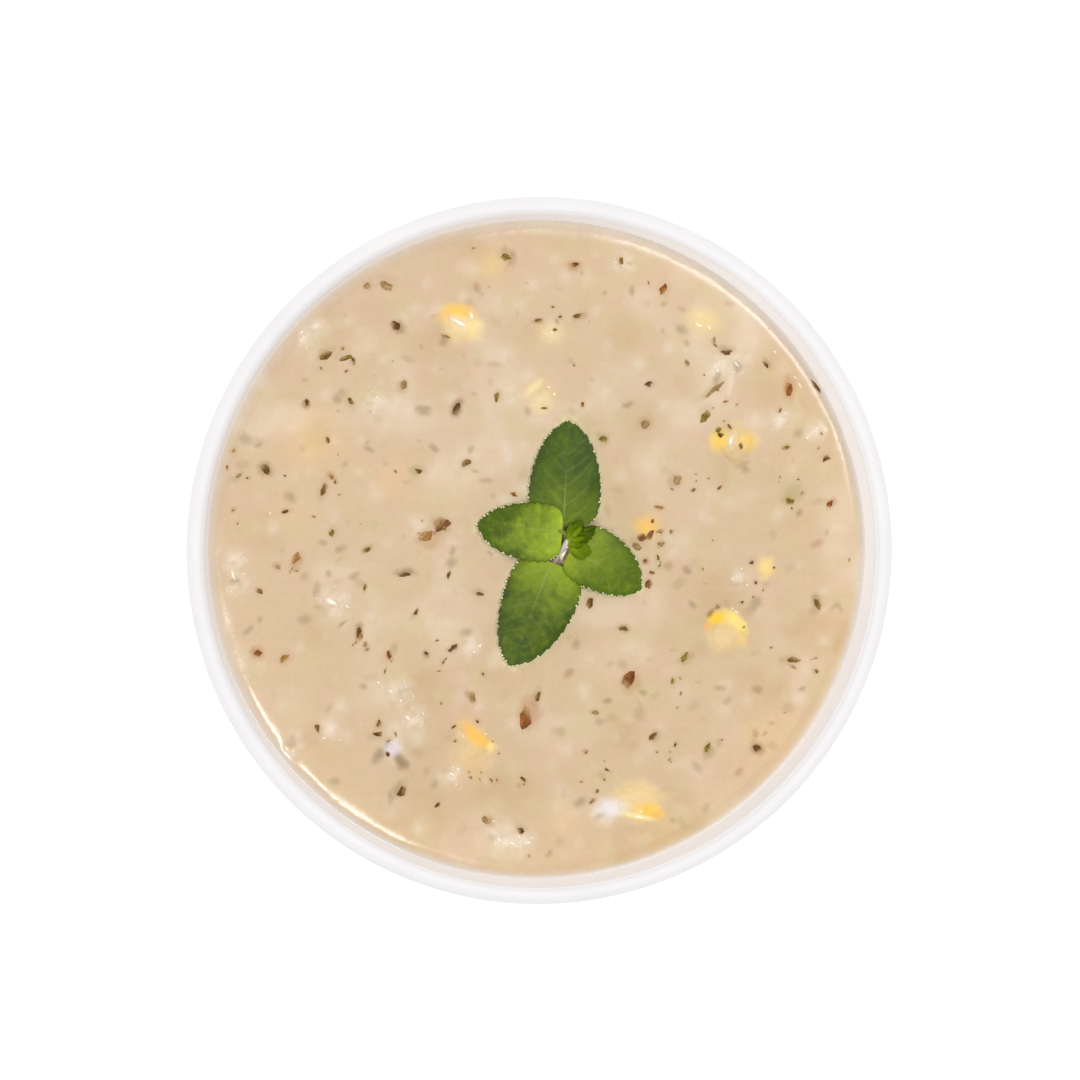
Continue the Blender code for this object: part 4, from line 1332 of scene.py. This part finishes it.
def build_mint(finish, bud_finish):
    pieces = []
    for name, leaf in LEAVES.items():
        parts = leaf_mesh_parts(leaf, LEAF_LOOKS[name], *LEAF_GRID)
        pieces.append(make_mesh(f"mint_leaf_{name}", *parts, "mint", finish))
    for name, leaf in {**BUD_LEAVES, **BUD_SCALES}.items():
        parts = leaf_mesh_parts(leaf, BUD_LOOKS[name], *BUD_GRID)
        pieces.append(make_mesh(f"mint_bud_{name}", *parts, "mint", bud_finish))
    stems = [
        # The stem runs from brown to a pale end that is a painted wet highlight
        tube_parts(STEM_PATH, 0.75 * STEM_RADIUS, STALK_BROWN, STEM_PALE_SHEEN),
        tube_parts(FAR_STALK, STALK_RADIUS, STALK_BROWN, STALK_GREEN),
        tube_parts(LEFT_STALK, STALK_RADIUS, STALK_BROWN, STALK_GREEN),
        tube_parts(RIGHT_STALK, STALK_RADIUS, STALK_GREEN, STALK_GREEN),
    ]
    pieces.append(make_mesh("mint_stem", *join_parts(stems), "mint", finish))
    for piece in pieces:
        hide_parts("mint_sprig")
    return pieces


# Flakes

def flake_fits(x, y, length, placed):
    """Keeps a flake clear of the wall, the mint, the kernels and other flakes."""
    reach = length / 2 + FLAKE_MARGIN
    if math.hypot(x, y) > wall_inside(SOUP_LEVEL) - FLAKE_WALL_GAP - reach:
        return False
    if under_leaf(x, y, reach):
        return False
    for kernel in KERNELS:
        kernel_reach = KERNEL_HALF[0] * kernel[4]
        if math.hypot(x - kernel[0], y - kernel[1]) < kernel_reach + reach:
            return False
    spacing = SMALL_FLAKE_SPACING
    return all(math.hypot(x - other[0], y - other[1]) > spacing for other in placed)


def flake_list():
    """The large flakes, then smaller ones spread evenly by a seeded draw."""
    flakes = list(LARGE_FLAKES)
    draw = random.Random(FLAKE_SEED)
    kinds = random.Random(FLAKE_SEED + 5)
    limit = wall_inside(SOUP_LEVEL)
    while len(flakes) < len(LARGE_FLAKES) + SMALL_FLAKES:
        x, y = draw.uniform(-limit, limit), draw.uniform(-limit, limit)
        length = draw.uniform(1.2, 2.1)
        width = length * draw.uniform(0.4, 0.75)
        turn = draw.uniform(0, 180)
        if flake_fits(x, y, length, flakes):
            kind = kinds.choice(("dark", "dark", "herb", "herb", "olive", "faded", "rust"))
            flakes.append((x, y, length, width, turn, kind))
    return flakes


def speck_list():
    """Specks of ground herb, in clusters and here and there, but not under the mint."""
    draw = random.Random(SPECK_SEED)
    limit = wall_inside(SOUP_LEVEL) - 1.2
    found = []

    def place(x, y, longest):
        length = draw.uniform(0.35, longest)
        width = length * draw.uniform(0.3, 0.7)
        kind = draw.choice(("dark", "herb", "olive", "faded", "faded", "tan"))
        turn = draw.uniform(0, 180)
        if not under_leaf(x, y, 0.6) and math.hypot(x, y) < limit:
            found.append((x, y, length, width, turn, kind))

    for x, y, spread, count in CLUSTERS:
        for _ in range(count):
            place(x + draw.gauss(0, 0.6) * spread, y + draw.gauss(0, 0.6) * spread, 1.3)
    for _ in range(SPECKS):
        away, around = limit * math.sqrt(draw.random()), draw.uniform(0, math.tau)
        place(away * math.cos(around), away * math.sin(around), 0.9)
    return found


def flake_parts(flake, draw, proud):
    """A torn crumpled crumb: a ragged outline, an uneven top and a sunk underside."""
    x, y, length, width, turn, kind = flake
    corners = draw.choice((7, 9, 11)) if length > 1.2 else draw.choice((5, 6, 7))
    turn = math.radians(turn)
    first, second = FLAKE_COLOURS[kind]
    outline = np.array([draw.uniform(0.58, 1.15) for _ in range(corners)])
    angles = (np.arange(corners) + np.array([draw.uniform(-0.2, 0.2) for _ in range(corners)]))
    angles = angles * math.tau / corners
    lean = draw.uniform(-0.12, 0.12), draw.uniform(-0.12, 0.12)
    sunk_side = draw.uniform(0, math.tau)
    points, colours = [], []
    for ring_share, lift in ((0, 1.0), (0.55, 0.9), (1.0, 0.35), (0.9, -1.2)):
        count = 1 if ring_share == 0 else corners
        for k in range(count):
            along = ring_share * outline[k] * math.cos(angles[k]) * length / 2
            across = ring_share * outline[k] * math.sin(angles[k]) * width / 2
            dx, dy = rotate(along, across, turn)
            crumple = draw.uniform(-0.35, 0.35) if ring_share in (0, 0.55) else 0
            z = proud * (lift + crumple) + lean[0] * along + lean[1] * across
            points.append((x + dx, y + dy, z))
            tone = mix(linear(first), linear(second), draw.random() ** 2)
            wet = 0.9 * max(0, ring_share * math.cos(angles[k] - sunk_side) - 0.1)
            colours.append(mix(tone, linear(SOUP_DEEP), wet))
    ground = top_height(np.array([x]), np.array([y]))[0]
    points = np.array(points)
    points[:, 2] += SOUP_LEVEL + ground
    rows = ring_rows(corners, 3)
    faces = fan(0, rows[0]) + band(rows[0], rows[1]) + band(rows[1], rows[2])
    faces.append(tuple(rows[2][::-1]))
    return points, faces, colours


def build_flakes(finish):
    draw = random.Random(FLAKE_SEED + 9)
    herbs = [flake_parts(flake, draw, FLAKE_PROUD) for flake in [*flake_list(), *MORE_FLAKES]]
    specks = [flake_parts(flake, draw, SPECK_PROUD) for flake in speck_list()]
    pieces = [
        make_mesh("herb_flakes", *join_parts(herbs), "chowder", finish),
        make_mesh("herb_specks", *join_parts(specks), "chowder", finish),
    ]
    for piece in pieces:
        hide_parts("soup")
        piece.data.shade_flat()
    return pieces


# Beads of soup that cling to the teeth of the leaves, coloured near white as a painted highlight of
# their glints

def sphere_parts(centre, radius, colour):
    points, faces = ball(12, 8)
    return points * radius + centre, faces, np.tile(colour, (len(points), 1))


def build_beads(finish):
    draw = random.Random(BEAD_SEED)
    parts = []
    for name, leaf in LEAVES.items():
        flat, arch, t, *_ = leaf_arrays(leaf, *LEAF_GRID)
        for column in (0, -1):
            row = 18
            while row < len(t) - 1:
                x, y = flat[row, column]
                others = [other for other in LEAVES if other != name]
                if not under_leaf(x, y, 0, others):
                    size = draw.uniform(0.06, 0.17)
                    z = SOUP_LEVEL + arch[row, column] + LEAF_THICKNESS / 2
                    # Each bead is painted near white, a painted highlight
                    parts.append(sphere_parts((x, y, z), size, linear(BEAD_HIGHLIGHT)))
                row += draw.choice((3, 4, 6, 9, 14))
    return make_mesh("highlight_beads", *join_parts(parts), "chowder", finish)


# Stage, light and camera

FLOOR = (0.93, 0.93, 0.93)
FLOOR_GLOW = 0.45
FLOOR_SIDE = 6
WORLD_COLOUR = (1, 0.995, 0.99, 1)
WORLD_STRENGTH = 0.497
# Softboxes: azimuth and elevation in degrees, distance and size in metres, power in watts
SOFTBOXES = {
    "softbox_right": (30, 68.6, 0.8, (0.18, 0.1), 1.5),
    "softbox_left": (242, 73, 0.8, (0.3, 0.13), 1.42),
    "softbox_far": (140, 50, 1.0, (1.0, 1.0), 1.62),
}

PHOTO_SIDE = 1080
PHOTO_RIM_CENTRE = (542.1, 551.7)
PHOTO_RIM_RADIUS = 354.9
CAMERA_DISTANCE = 800
CAMERA_TILT = math.radians(5.4)
CAMERA_TOWARDS = (-0.915, 0.403)
SENSOR = 36


def build_stage():
    bpy.ops.mesh.primitive_plane_add(size=FLOOR_SIDE, location=(0, 0, 0))
    floor = bpy.context.object
    floor.name = "floor"
    floor.data.materials.append(floor_material())


def strip_light(name, azimuth, elevation, distance, size, power):
    """A long softbox that faces the bowl, its long side level."""
    azimuth, elevation = math.radians(azimuth), math.radians(elevation)
    level = math.cos(elevation)
    away = Vector((math.cos(azimuth) * level, math.sin(azimuth) * level, math.sin(elevation)))
    data = bpy.data.lights.new(name, "AREA")
    data.shape = "RECTANGLE"
    data.size, data.size_y = size
    data.energy = power
    light = bpy.data.objects.new(name, data)
    light.location = Vector((0, 0, SOUP_LEVEL * MM)) + away * distance
    light.rotation_euler = away.to_track_quat("Z", "Y").to_euler()
    bpy.context.scene.collection.objects.link(light)


def build_light():
    world = bpy.data.worlds.new("studio")
    world.use_nodes = True
    background = world.node_tree.nodes["Background"]
    background.inputs["Color"].default_value = WORLD_COLOUR
    background.inputs["Strength"].default_value = WORLD_STRENGTH
    bpy.context.scene.world = world
    for name, place in SOFTBOXES.items():
        strip_light(name, *place)
    bpy.context.scene.view_settings.view_transform = "Standard"


def build_camera():
    data = bpy.data.cameras.new("camera")
    data.sensor_width = SENSOR
    pixels_per_mm = PHOTO_RIM_RADIUS / RIM_RADIUS
    data.lens = pixels_per_mm * CAMERA_DISTANCE / PHOTO_SIDE * SENSOR
    data.clip_start, data.clip_end = 0.05, 20
    camera = bpy.data.objects.new("camera", data)
    aside = Vector(CAMERA_TOWARDS) * math.sin(CAMERA_TILT)
    away = Vector((aside.x, aside.y, math.cos(CAMERA_TILT)))
    half = PHOTO_SIDE / 2
    aim = Vector((
        (half - PHOTO_RIM_CENTRE[0]) / pixels_per_mm,
        (PHOTO_RIM_CENTRE[1] - half) / pixels_per_mm,
        BOWL_HEIGHT,
    )) * MM
    camera.location = aim + away * CAMERA_DISTANCE * MM
    right = Vector((0, 1, 0)).cross(away).normalized()
    facing = Matrix((right, away.cross(right), away)).transposed()
    camera.rotation_euler = facing.to_euler()
    bpy.context.scene.collection.objects.link(camera)
    bpy.context.scene.camera = camera


def main():
    pieces = [build_bowl(card_material()), build_soup(soup_material())]
    corn = corn_material()
    pieces += [build_kernel(number, kernel, corn) for number, kernel in enumerate(KERNELS, 1)]
    pieces += build_mint(mint_material("mint_leaf", 0.16), mint_material("mint_bud", 0.03))
    pieces += build_flakes(flake_material())
    pieces.append(build_beads(bead_material("wet_bead", 0.08, 0.001)))
    pieces.append(build_glints(bead_material("wet_cream", 0.24, 0.006)))
    for piece in pieces:
        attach(piece, "root")
    build_stage()
    build_light()
    build_camera()


main()
